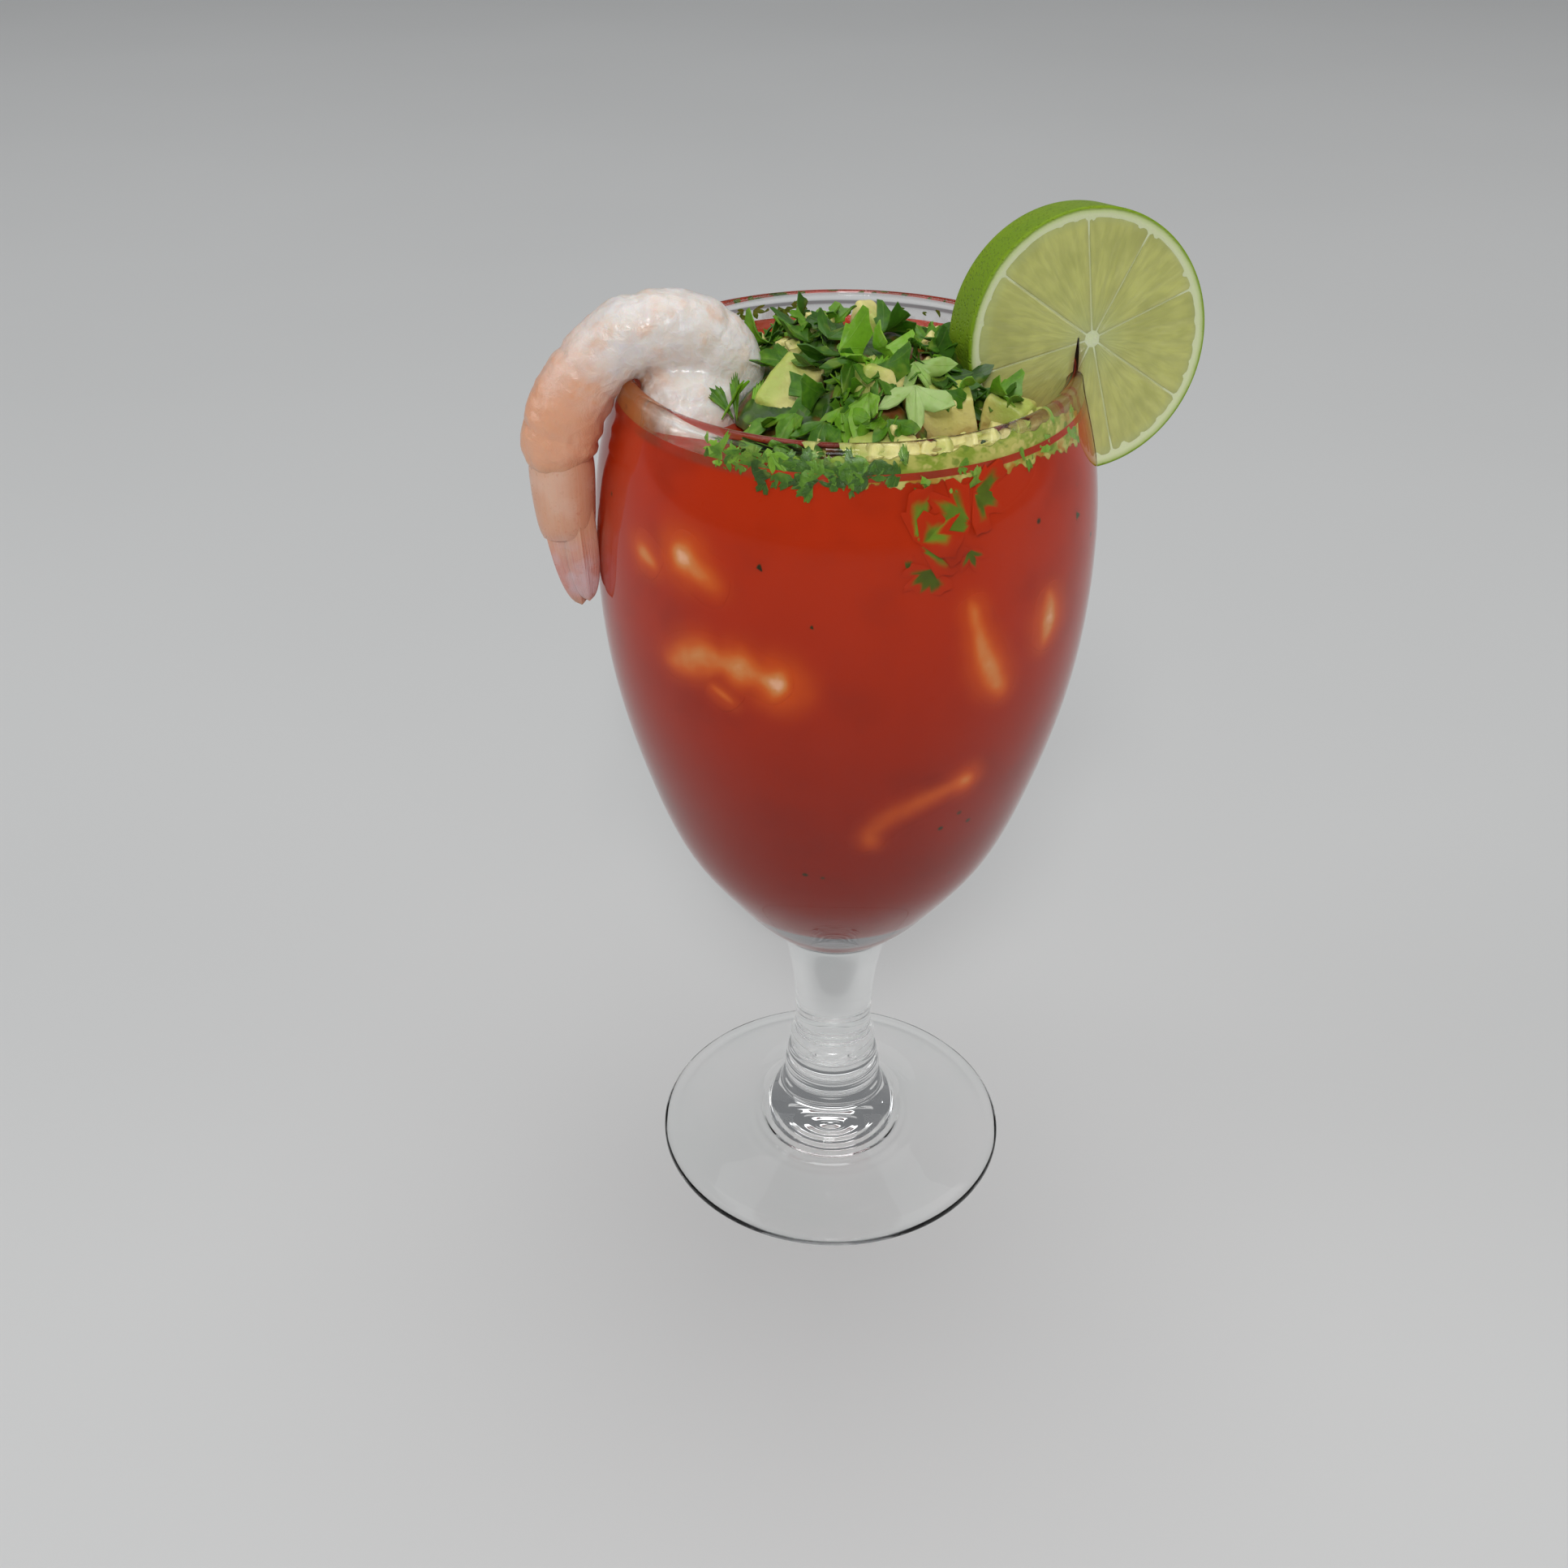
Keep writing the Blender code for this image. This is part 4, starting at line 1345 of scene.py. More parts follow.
class COCKTAIL_OT_lime_wheel(bpy.types.Operator):
    """Cuts the lime wheel and sits it on the rim in its slit"""

    bl_idname = "cocktail.lime_wheel"
    bl_label = "Lime wheel"

    def execute(self, context):
        lime = context.scene.cocktail_lime
        edge, deep, round_off = lime.radius, lime.thickness, 0.0005
        corner = lime.pulp - 0.0002
        outline = [(corner, 0.00015), (corner + 0.0003, 0.00004)]
        outline += [tuple(p) for p in arc((edge - round_off, round_off), round_off, -90, 0, 5)]
        outline += [(edge, deep * t) for t in np.linspace(0.1, 0.9, 7)]
        outline += [tuple(p) for p in arc((edge - round_off, deep - round_off), round_off, 0, 90, 5)]
        outline += [(corner + 0.0003, deep - 0.00004), (corner, deep - 0.00015)]
        outline = [(0, 0.0012)] + outline + [(0, deep - 0.0012)]
        rind = wheel_turned("lime_rind", outline)
        disc = [(0, 0.00022), (0.0012, 0.00022), (lime.pulp * 0.3, 0.00028), (lime.pulp, 0.00030)]
        disc += [(r, deep - d) for r, d in disc[::-1]]
        core = wheel_turned("lime_membranes", disc, 120)
        ends = MEMBRANE_ANGLES[1:] + (MEMBRANE_ANGLES[0] + 360,)
        segments = [lime_segment(lime, a, b, i) for i, (a, b) in enumerate(zip(MEMBRANE_ANGLES, ends))]
        pulp = joined("lime_pulp", segments)
        for made, finish in ((rind, rind_finish(lime)), (core, pith_finish(lime)), (pulp, pulp_finish(lime))):
            sit_on_rim(made, lime)
            keep(made, finish, ["lime_wheel"])
        return {"FINISHED"}


# Avocado


def avocado_finish(topping):
    finish = Finish(
        "avocado_flesh",
        subsurface_weight=0.25,
        subsurface_radius=(0.0020, 0.0018, 0.0007),
        subsurface_scale=1.0,
        coat_weight=0.15,
        coat_roughness=0.3,
    )
    at = finish.place()
    cloud = finish.noise(at, 170, 3)
    fine = finish.noise(at, 900, 3, 0.6)
    skin = (finish.noted("skin") + (cloud - 0.5) * 0.7).step(0.20, 1.0)
    body = finish.mix(skin, tuple(topping.butter), tuple(topping.green))
    body = finish.mix(fine.step(0.5, 0.85) * 0.35, body, (0.74, 0.66, 0.30))
    wet = finish.noise(at, 420, 2).step(0.52, 0.72)
    body = finish.mix(wet * 0.35, body, (0.46, 0.40, 0.09))
    stain = (1 - (finish.height() + (cloud - 0.5) * 0.006).step(0.1735, 0.1785)) * 0.8
    body = finish.mix(stain, body, (0.47, 0.150, 0.022))
    bruise = finish.noise(at, 330, 2).step(0.64, 0.76)
    body = finish.mix(bruise * 0.5, body, (0.42, 0.24, 0.06))
    return finish.surface(body, fine * 0.25 + 0.34, finish.bump(fine + cloud * 0.6, 0.00030, 0.7))


def die(index):
    """One hand-cut cube: its corners are pushed about, its edges soft, its faces torn and a little hollow."""
    middle, size, turn = DICE[index]
    deselect()
    bpy.ops.mesh.primitive_cube_add(size=2)
    made = bpy.context.object
    with editing(made):
        bpy.ops.mesh.subdivide(number_cuts=15)
    unit = np.sin(read_points(made) * math.pi / 2)
    half = np.array(size) / 2
    inner = np.clip(unit * half, -(half - DICE_EDGE), half - DICE_EDGE)
    away = unit * half - inner
    reach = np.linalg.norm(away, axis=1)[:, None]
    local = inner + away / np.maximum(reach, 1e-9) * np.minimum(reach, DICE_EDGE)
    shares = local / half
    phase = 1.7 * index
    for axis in range(3):
        others = shares[:, (axis + 1) % 3] * shares[:, (axis + 2) % 3]
        local[:, axis] += DICE_SKEW * size[axis] * 0.5 * others * math.sin(phase + 2.3 * axis)
    corners = (np.abs(shares) ** 3).sum(axis=1) / 3
    rough = 0.00034 * grain(local, 210, index) + 0.00014 * grain(local, 620, index + 3) - 0.00055 * corners
    local += shares * rough[:, None]
    facing = Vector((math.sin(phase), math.cos(phase), 0.4)).normalized()
    note(made, "skin", 0.5 + 0.6 * (shares @ np.array(facing)))
    rotation = np.array(Euler([math.radians(a) for a in turn]).to_matrix())
    write_points(made, local @ rotation.T + np.array(middle))
    return made


class COCKTAIL_OT_avocado(bpy.types.Operator):
    """Cuts the avocado dice"""

    bl_idname = "cocktail.avocado"
    bl_label = "Avocado dice"

    def execute(self, context):
        finish = avocado_finish(context.scene.cocktail_topping)
        for index, node in enumerate(DICE_NODES):
            made = die(index)
            made.name = f"{node}_cut"
            keep(made, finish, [node], angle=80)
        return {"FINISHED"}


# Coriander


def heap_share(x, y):
    """Each point's share of the heap's reach that way, and its turn about the heap's middle."""
    dx, dy = x - HEAP_MIDDLE[0], y - HEAP_MIDDLE[1]
    turn = np.arctan2(dy / HEAP_REACH[1], dx / HEAP_REACH[0])
    lobes = 1 + 0.09 * np.sin(3 * turn + 0.6) + 0.06 * np.sin(5 * turn + 2.0) + 0.04 * np.sin(9 * turn)
    edge_x = HEAP_MIDDLE[0] + HEAP_REACH[0] * np.cos(turn) * lobes
    edge_y = HEAP_MIDDLE[1] + HEAP_REACH[1] * np.sin(turn) * lobes
    limit = np.minimum(1.0, HEAP_WALL_REACH / np.hypot(edge_x, edge_y))
    return np.hypot(dx / HEAP_REACH[0], dy / HEAP_REACH[1]) / (lobes * limit), turn


def heap_height(x, y, fullness=1.0):
    """The heap's height, dented round the dice that show at the front, so that they stand proud of it."""
    share, turn = heap_share(x, y)
    share = np.minimum(share, 1.0)
    dome = np.maximum(1 - share**2.2, 0) ** 0.8
    clumps = 0.16 * np.sin(3 * turn + 4 * share) + 0.14 * np.sin(5 * turn - 7 * share)
    height = HEAP_BASE_Z + (HEAP_TOP_Z - HEAP_BASE_Z) * fullness * dome * (1 + clumps * share)
    for middle, size, _ in [DICE[index] for index in SHOWN_DICE]:
        gap = np.hypot(x - middle[0], y - middle[1] + 0.0010)
        dent = middle[2] + 0.0002 + 1.2 * np.maximum(gap - 0.46 * size[0], 0)
        height = np.minimum(height, np.maximum(dent, HEAP_BASE_Z - 0.0004))
    return height


def core_finish(topping):
    """Fine wet chopped leaf between the loose pieces."""
    finish = Finish("coriander_core", coat_weight=0.15, coat_roughness=0.3)
    at = finish.place()
    flakes = finish.cells(at, 380)
    tone = finish.noise(at, 300, 3)
    body = finish.mix(tone.step(0.35, 0.7), tuple(0.45 * c for c in topping.dark), (0.055, 0.12, 0.010))
    body = finish.mix((1 - flakes.step(0.1, 0.45)) * 0.45, body, tuple(0.8 * c for c in topping.bright))
    sauce = finish.noise(at, 130, 2).step(0.52, 0.64) * 0.75
    body = finish.mix(sauce, body, (0.24, 0.040, 0.006))
    return finish.surface(body, tone * 0.3 + 0.3, finish.bump(flakes, 0.0006, 0.8))


class COCKTAIL_OT_heap_core(bpy.types.Operator):
    """Builds the fine chopped core that the loose leaves lie on"""

    bl_idname = "cocktail.heap_core"
    bl_label = "Heap core"

    def execute(self, context):
        def shape(across, along):
            turn = math.tau * across
            share = np.sin(np.clip(along / 0.85, 0, 1) * math.pi / 2)
            reach_x = HEAP_REACH[0] * np.cos(turn) * 0.97
            reach_y = HEAP_REACH[1] * np.sin(turn) * 0.97
            x, y = HEAP_MIDDLE[0] + reach_x * share, HEAP_MIDDLE[1] + reach_y * share
            own, _ = heap_share(x, y)
            scale = np.where(own > 0.96, 0.96 / np.maximum(own, 1e-6), 1.0)
            x = HEAP_MIDDLE[0] + reach_x * share * scale
            y = HEAP_MIDDLE[1] + reach_y * share * scale
            z = heap_height(x, y, 0.86)
            at = np.stack([x, y, z], axis=1)
            z = z + (0.0007 * grain(at, 330, 7) + 0.0004 * grain(at, 800, 8)) * (1 - share * 0.4)
            sink = np.clip((along - 0.85) / 0.15, 0, 1)
            x = HEAP_MIDDLE[0] + (x - HEAP_MIDDLE[0]) * (1 - 0.9 * (along > 0.93))
            y = HEAP_MIDDLE[1] + (y - HEAP_MIDDLE[1]) * (1 - 0.9 * (along > 0.93))
            return np.stack([x, y, z - 0.0035 * sink], axis=1)

        made = grid("heap_core", 150, 64, shape)
        close(made, 2e-5)
        keep(made, core_finish(context.scene.cocktail_topping), ["coriander_heap"])
        return {"FINISHED"}


# Chopped leaf: half the spread in radians, lobes, how deep they are cut, their shift, where the knife cut the
# tip off (2.0 where it didn't), and the curl. The knife also cut one side off some kinds.
LEAF_KINDS = (
    (1.25, 3, 0.52, 0.0, 2.0, 0.30),
    (1.10, 3, 0.46, 0.5, 0.80, 0.45),
    (0.42, 0, 0.0, 0.0, 2.0, 0.5),
    (0.80, 0, 0.0, 0.0, 0.62, 0.3),
    (1.35, 3, 0.46, -0.3, 2.0, 1.2),
    (0.22, 0, 0.0, 0.0, 2.0, 0.7),
    (1.40, 5, 0.34, 0.3, 0.78, 0.6),
    (0.95, 2, 0.50, 0.4, 2.0, 0.7),
    (0.56, 0, 0.0, 0.2, 0.86, 0.9),
)
SIDE_CUT_KINDS = (1, 8)


def leaf_kind(kind, topping):
    """One piece of chopped leaf, 1 long, lying in XY with its base at the origin and its tip along +Y."""
    spread, lobes, depth, shift, trim, curl = LEAF_KINDS[kind]

    def shape(across, along):
        share = 2 * across - 1
        angle = share * spread
        wave = np.abs(np.cos(lobes * math.pi / 2 * share + shift + (lobes == 2) * math.pi / 2)) ** 0.8
        teeth = 1 + 0.09 * np.cos(share * 19 + 2 * kind)
        reach = along * (1 - depth * (1 - wave)) * teeth * (1 - 0.16 * share**2)
        x, y = reach * np.sin(angle), reach * np.cos(angle)
        y = np.minimum(y, trim + 0.35 * x)
        if kind in SIDE_CUT_KINDS:
            x = np.maximum(x, -0.14)
        lift = curl * x**2 + 0.16 * along**2 * np.sin(5 * angle) - 0.30 * curl * y**2
        crease = 0.06 * np.abs(np.sin(share * 3)) * along
        return np.stack([x, y, lift + crease], axis=1)

    made = grid("leaf", 18, 4, shape)
    across, along = grid_shares(18, 4)
    note(made, "leaf", np.stack([2 * across - 1, along, along * 0], axis=1))
    apply_modifier(made, "SOLIDIFY", thickness=topping.thickness / topping.leaf, offset=0.0)
    close(made, 1e-4)
    return take(made)


def stalk_kind():
    """A short cut stalk, 1 long, slightly bent."""

    def shape(across, along):
        turn = math.tau * across
        bend = 0.10 * np.sin(math.pi * along)
        thick = 0.055 * (1 - 0.25 * along)
        return np.stack([thick * np.cos(turn) + bend, along, thick * np.sin(turn)], axis=1)

    made = grid("stalk", 8, 6, shape)
    across, along = grid_shares(8, 6)
    note(made, "leaf", np.stack([across, along, along * 0], axis=1))
    close(made)
    return take(made)


def crumb_kind(seed):
    """A small soft bit of avocado, 1 across, squashed out of shape."""
    deselect()
    bpy.ops.mesh.primitive_cube_add(size=1)
    made = bpy.context.object
    with editing(made):
        bpy.ops.mesh.subdivide(number_cuts=6)
    points = read_points(made)
    points *= (1 - 0.62 * (np.linalg.norm(points, axis=1) - 0.5))[:, None]
    points += 0.18 * np.stack([grain(points, 2.2, seed + s) for s in (1, 2, 3)], axis=1)
    points += 0.06 * np.stack([grain(points, 6.0, seed + s) for s in (4, 5, 6)], axis=1)
    write_points(made, points)
    note(made, "skin", 0.5 + points[:, 0])
    return take(made)


def leaf_finish(topping):
    finish = Finish(
        "coriander_leaf",
        subsurface_weight=0.12,
        subsurface_radius=(0.0004, 0.0010, 0.0002),
        subsurface_scale=1.0,
        coat_weight=0.10,
        coat_roughness=0.30,
        specular_ior_level=0.35,
    )
    across, along, _ = finish.parts_of("leaf")
    shade = finish.noted("shade")
    at = finish.place()
    mottle = finish.noise(at, 700, 3)
    tone = shade + (mottle - 0.5) * 0.40
    body = finish.ramp(
        tone,
        (0.0, tuple(0.45 * c for c in topping.dark)),
        (0.28, tuple(topping.dark)),
        (0.64, tuple(topping.bright)),
        (1.0, tuple(topping.pale)),
    )
    midrib = 1 - across.size().step(0.02, 0.09)
    fan = 1 - ((across * 9.5).sine().size() + along * 0.05).step(0.05, 0.25)
    vein = midrib * 0.7 + fan * 0.35
    body = finish.mix(vein * 0.40, body, (0.26, 0.42, 0.07))
    worn = finish.noise(at, 260, 2).step(0.56, 0.68) * 0.4
    body = finish.mix(worn, body, (0.24, 0.34, 0.030))
    wet = finish.noise(at, 420, 2)
    return finish.surface(body, wet * 0.35 + 0.28, finish.bump(vein * 0.6 + mottle, 0.00016, 0.9))


def hides_a_die(points):
    """True where a loose piece would lie in front of the middle of a die that shows."""
    eye = np.array(SEEN_FROM)
    for index in SHOWN_DICE:
        middle, size, _ = DICE[index]
        sight = np.array(middle) + np.array([0, 0, 0.15 * size[2]]) - eye
        far = np.linalg.norm(sight)
        sight /= far
        along = (points - eye) @ sight
        aside = np.linalg.norm(points - eye - along[:, None] * sight, axis=1)
        if ((aside < 0.5 * math.sqrt(size[0] * size[1])) & (along < far + 0.002)).any():
            return True
    return False


def turn_to(heading, rise, roll):
    """A rotation that points a leaf's tip along a heading, raised, and rolled about its length."""
    turn = Matrix.Rotation(math.radians(heading) - math.pi / 2, 3, "Z")
    turn @= Matrix.Rotation(math.radians(rise), 3, "X")
    return np.array(turn @ Matrix.Rotation(math.radians(roll), 3, "Y"))


def placed(part, middle, turn, size, shade):
    """A copy of a part at its place, with its own shade of colour."""
    points, faces, notes = part
    moved = (points * np.array(size)) @ turn.T + np.array(middle)
    held = dict(notes)
    held["shade"] = np.full(len(points), shade, np.float32)
    return moved, faces, held


def blocked(points, prawn_line, lime):
    """True where a loose piece would go into the glass, the prawn, the lime or deep into the sauce."""
    reach = np.hypot(points[:, 0], points[:, 1])
    if (reach > inside_radius(points[:, 2]) - 0.0003).any() or (points[:, 2] < HEAP_LOWEST_Z).any():
        return True
    if (points[:, 2] > LIP_CENTRE[1] - 0.002).any() and (reach > LIP_CENTRE[0] - 0.004).any():
        return True
    middle, radius = prawn_line
    gaps = np.linalg.norm(points[:, None] - middle[None], axis=2) - radius[None]
    if (gaps < 0.0003).any():
        return True
    axes = np.array(lime_axes(lime))
    local = (points - axes[:3, 3]) @ axes[:3, :3]
    in_disc = np.hypot(local[:, 0], local[:, 2]) < lime.radius + 0.0004
    return bool((in_disc & (local[:, 1] > -0.0004) & (local[:, 1] < lime.thickness + 0.0004)).any())


def prawn_tube(prawn):
    """Points along the prawn's body and neck end, and how thick it is at each."""
    body, _, _, body_thick, body_wide = prawn_axes(PRAWN_BODY, 3, prawn.bearing)
    neck, _, _, neck_thick, neck_wide = prawn_axes(PRAWN_NECK, 3, prawn.bearing)
    thick, wide = np.append(body_thick, neck_thick), np.append(body_wide, neck_wide)
    return np.concatenate([body, neck]), np.maximum(thick, wide)


# Leaves that give the heap its look: (x, y, z) of the base in mm, (length, width) in mm before HERO_SCALE,
# heading, rise and roll in degrees, kind, shade from 0 dark to 1 pale.
HERO_SCALE = 0.88
HERO_LEAVES = (
    ((-6.4, 19.0, 177.6), (10.5, 6.4), -88, 50, 8, 2, 0.40),
    ((-6.6, 17.5, 177.4), (8.0, 7.0), -120, 34, -20, 0, 0.30),
    ((-5.6, 12.5, 182.6), (8.6, 7.6), -100, 22, 10, 0, 0.34),
    ((-1.8, -15.9, 187.6), (8.6, 7.8), 10, -8, 28, 4, 0.62),
    ((4.2, -13.5, 187.4), (7.4, 6.6), -40, -6, -26, 4, 0.66),
    ((10.6, -15.6, 185.8), (8.4, 8.0), -54, -28, 12, 0, 0.86),
    ((10.8, -22.6, 184.4), (10.4, 9.2), -90, -26, -6, 0, 1.0),
    ((3.4, -25.6, 184.2), (9.2, 7.2), -112, -38, 14, 0, 0.72),
    ((-1.6, -16.3, 187.0), (8.2, 7.8), 150, -10, 10, 0, 0.20),
    ((0.6, -19.4, 187.2), (8.0, 7.4), -100, -16, -16, 0, 0.22),
    ((4.6, -20.6, 187.0), (7.6, 7.2), -60, -20, 18, 4, 0.30),
    ((-3.8, -23.7, 183.6), (7.8, 7.2), -150, -24, 18, 4, 0.32),
    ((-4.6, -16.4, 185.2), (6.0, 5.6), 150, 4, 10, 0, 0.24),
    ((1.9, -21.5, 185.0), (7.0, 6.6), -140, -24, -10, 0, 0.42),
    ((-3.7, -29.7, 180.8), (7.4, 6.6), -110, -34, -8, 0, 0.30),
    ((-1.2, -27.2, 182.2), (7.4, 6.8), -80, -34, 12, 0, 0.50),
    ((6.6, -29.4, 181.2), (6.8, 6.0), -70, -34, 5, 0, 0.34),
    # The next three leaves, on the right under the lime, have the darkest shades: painted shade for the
    # shadow under the lime.
    ((14.1, -15.3, 183.6), (7.6, 7.0), -35, -14, -12, 0, 0.06),
    ((18.6, -13.4, 182.0), (7.2, 6.6), -20, -10, 14, 0, 0.10),
    ((16.4, -16.6, 183.0), (6.4, 5.8), -60, -10, -18, 0, 0.14),
    ((9.9, -9.8, 186.2), (7.4, 4.8), -72, 30, 10, 2, 0.16),
    ((12.6, -10.6, 184.4), (7.2, 6.0), -40, 6, 20, 4, 0.14),
    ((25.6, -14.4, 181.6), (7.4, 6.6), -110, -12, 14, 0, 0.20),
    ((23.4, -17.4, 181.8), (6.8, 5.6), -30, -14, -10, 4, 0.46),
    ((28.6, -17.8, 180.6), (6.4, 5.6), -160, -16, 6, 6, 0.30),
    ((19.4, -18.6, 183.2), (6.8, 5.8), -140, -12, 12, 6, 0.50),
    ((15.6, -22.0, 183.6), (5.6, 4.8), -70, -24, 10, 7, 0.30),
    ((-8.5, -26.0, 180.6), (6.8, 6.0), -120, -28, 5, 0, 0.42),
    ((-11.6, -24.0, 179.2), (6.4, 5.4), -150, -20, 12, 0, 0.36),
    ((-10.6, -9.8, 183.4), (7.4, 6.6), 150, 0, -14, 0, 0.34),
    ((-7.0, -4.6, 185.2), (7.6, 6.8), 120, 8, 14, 0, 0.30),
    ((-3.6, -9.0, 187.4), (7.6, 6.8), 60, 8, 10, 0, 0.26),
    ((5.4, -5.0, 187.2), (7.4, 6.6), 30, 8, -18, 4, 0.28),
    ((12.4, 4.2, 183.6), (8.0, 7.2), -60, 0, 10, 0, 0.18),
    ((15.6, 7.8, 183.0), (7.6, 6.8), -120, 4, -14, 0, 0.24),
    ((17.0, 0.6, 183.2), (7.6, 7.0), -80, -6, 10, 0, 0.12),
    ((-21.0, -19.0, 176.6), (8.2, 3.4), 30, 56, 6, 2, 0.58),
    ((-18.4, -19.6, 176.6), (8.6, 3.4), 100, 62, -14, 2, 0.42),
    ((-16.2, -20.2, 176.6), (7.8, 3.8), 60, 60, 24, 2, 0.62),
    ((-19.0, -18.2, 176.4), (7.0, 3.0), 150, 48, 0, 2, 0.36),
    ((-14.6, -21.4, 176.8), (6.4, 4.4), 30, 20, 24, 1, 0.44),
)

# The stalk that lies across the dice: base, (heading, rise, roll) in degrees, size and shade.
LONG_STALK = ((0.0204, -0.0155, 0.1812), (-7, -16, 0), (0.010, 0.0086, 0.010), 0.12)

# Leaves pressed to the wall under the sauce: (bearing in degrees, height in mm), (length, width) in mm,
# heading, kind, shade.
SUNK_LEAVES = (
    ((-61.6, 167.0), (9.4, 8.6), 80, 6, 0.70),
    ((-60.6, 171.6), (7.4, 7.8), 250, 4, 0.56),
    ((-75.0, 165.4), (10.0, 8.4), -50, 4, 0.90),
    ((-73.4, 163.6), (8.4, 7.4), -72, 6, 0.76),
    ((-70.6, 160.6), (6.0, 5.6), 150, 6, 0.46),
    ((-62.4, 162.8), (4.4, 3.6), 200, 0, 0.50),
    ((-75.4, 159.8), (3.6, 3.2), 20, 8, 0.30),
    ((-107.4, 159.5), (2.4, 1.6), 40, 3, 0.02),
    ((-96.0, 150.6), (1.4, 1.0), 40, 3, 0.06),
    ((-25.0, 160.5), (2.8, 2.2), 80, 3, 0.20),
    ((35.0, 166.0), (7.6, 6.4), 30, 6, 0.50),
    ((88.0, 158.0), (6.6, 6.0), -40, 0, 0.52),
    ((128.0, 163.0), (7.2, 6.4), 100, 6, 0.56),
    ((170.0, 168.0), (6.0, 5.0), 10, 0, 0.50),
    ((60.0, 142.0), (5.6, 4.6), 70, 6, 0.46),
)

# Chopped leaf against the wall, in runs: bearings from and to in degrees, heights from and to in mm, how many
# pieces, lengths from and to in mm, shades from and to. A piece that would go below or above is left out.
WALL_RUNS = (
    (-125, -100, 176.2, 178.6, 46, 1.6, 3.6, 0.16, 0.66),
    (-104, -76, 175.0, 178.6, 44, 1.6, 3.8, 0.02, 0.50),
    (-112, -82, 173.6, 175.6, 26, 1.4, 3.2, 0.0, 0.36),
    (-76, -36, 173.4, 176.6, 14, 1.2, 2.6, 0.30, 0.70),
    (-40, -20, 171.0, 178.2, 8, 1.2, 2.8, 0.50, 0.80),
    (98, 126, 177.0, 178.9, 16, 1.2, 2.8, 0.05, 0.35),
    (40, 96, 176.6, 178.0, 10, 1.0, 2.2, 0.05, 0.40),
    (126, 168, 176.0, 178.0, 8, 1.0, 2.4, 0.10, 0.40),
)
WALL_LEAF_LOW_Z = 0.1712
WALL_LEAF_HIGH_Z = 0.1797


def on_wall(part, spot, size, heading, depth, shade):
    """A copy of a leaf bent onto the inner wall: depth metres in front of it, or below 0 behind its skin."""
    points, faces, notes = part
    flat = points * np.array([size[1], size[0], size[0]]) / 1000
    a = math.radians(heading)
    across = flat[:, 0] * math.cos(a) - flat[:, 1] * math.sin(a)
    up = flat[:, 0] * math.sin(a) + flat[:, 1] * math.cos(a)
    height = spot[1] / 1000 + up
    radius = inside_radius(height)
    bearing = math.radians(spot[0]) + across / radius
    held = dict(notes)
    held["shade"] = np.full(len(points), shade, np.float32)
    return polar(radius - depth + flat[:, 2] * 0.12, bearing, height), faces, held


def wall_scatter(kinds, rng):
    """Small pieces of leaf in layers on the wall, just behind its skin so that no air shows between."""
    found = []
    for first, last, low, high, count, short, long, dark, light in WALL_RUNS:
        for _ in range(count):
            spot = (rng.uniform(first, last), rng.uniform(low, high))
            size = rng.uniform(short, long)
            kind = kinds[(0, 6, 1, 3, 7, 8)[rng.integers(6)]]
            depth = rng.uniform(-0.00042, -0.00020)
            heading, shade = rng.uniform(0, 360), rng.uniform(dark, light)
            piece = on_wall(kind, spot, (size, size * rng.uniform(0.7, 1.0)), heading, depth, shade)
            heights = piece[0][:, 2]
            if heights.max() < WALL_LEAF_HIGH_Z and heights.min() > WALL_LEAF_LOW_Z:
                found.append(piece)
    return found


def sunk_leaf_finish(sauce):
    """Leaf seen through a thin skin of sauce, which closes over it at the edges."""
    finish = Finish("sunk_leaf", specular_ior_level=0.12)
    across, along, _ = finish.parts_of("leaf")
    shade = finish.noted("shade")
    at = finish.place()
    mottle = finish.noise(at, 420, 3)
    tone = shade + (mottle - 0.5) * 0.5
    dark, middling, bright = (0.02, 0.015, 0.004), (0.080, 0.115, 0.008), (0.170, 0.300, 0.022)
    green = finish.ramp(tone, (0.0, dark), (0.5, middling), (1.0, bright))
    edge = along.math("MAXIMUM", across.size().step(0.45, 1.0), along.step(0.45, 0.98))
    edge = edge.math("MAXIMUM", edge, 1 - along.step(0.0, 0.20))
    body = finish.mix((edge + (mottle - 0.5) * 0.6).step(0.10, 0.80), green, sauce_colour(finish, sauce))
    return finish.surface(body, mottle * 0.2 + 0.3)


def scatter(count, kinds, rng, low, high, sizes, tests):
    """Loose pieces over the heap, each lying roughly on its slope and clear of what stands there."""
    found = []
    for _ in range(count * 8):
        if len(found) == count:
            break
        share = math.sqrt(rng.uniform(low**2, high**2))
        turn = rng.uniform(0, math.tau)
        x = HEAP_MIDDLE[0] + HEAP_REACH[0] * math.cos(turn) * share
        y = HEAP_MIDDLE[1] + HEAP_REACH[1] * math.sin(turn) * share
        z = float(heap_height(np.array([x]), np.array([y]))[0]) + rng.uniform(-0.0020, -0.0002)
        slope = 38 * share**1.5
        downhill = math.degrees(math.atan2(y - HEAP_MIDDLE[1], x - HEAP_MIDDLE[0]))
        heading = rng.uniform(0, 360)
        rise = -slope * math.cos(math.radians(heading - downhill)) + rng.normal(0, 14)
        roll = slope * math.sin(math.radians(heading - downhill)) + rng.normal(0, 18)
        size = rng.uniform(*sizes)
        shape = np.array([size * rng.uniform(0.75, 1.1), size, size])
        kind = kinds[rng.integers(len(kinds))]
        tone = float(np.clip(rng.normal(0.38, 0.19), 0.02, 0.95))
        piece = placed(kind, (x, y, z), turn_to(heading, rise, roll), shape, tone)
        if not blocked(piece[0], *tests) and not hides_a_die(piece[0]):
            found.append(piece)
    return found


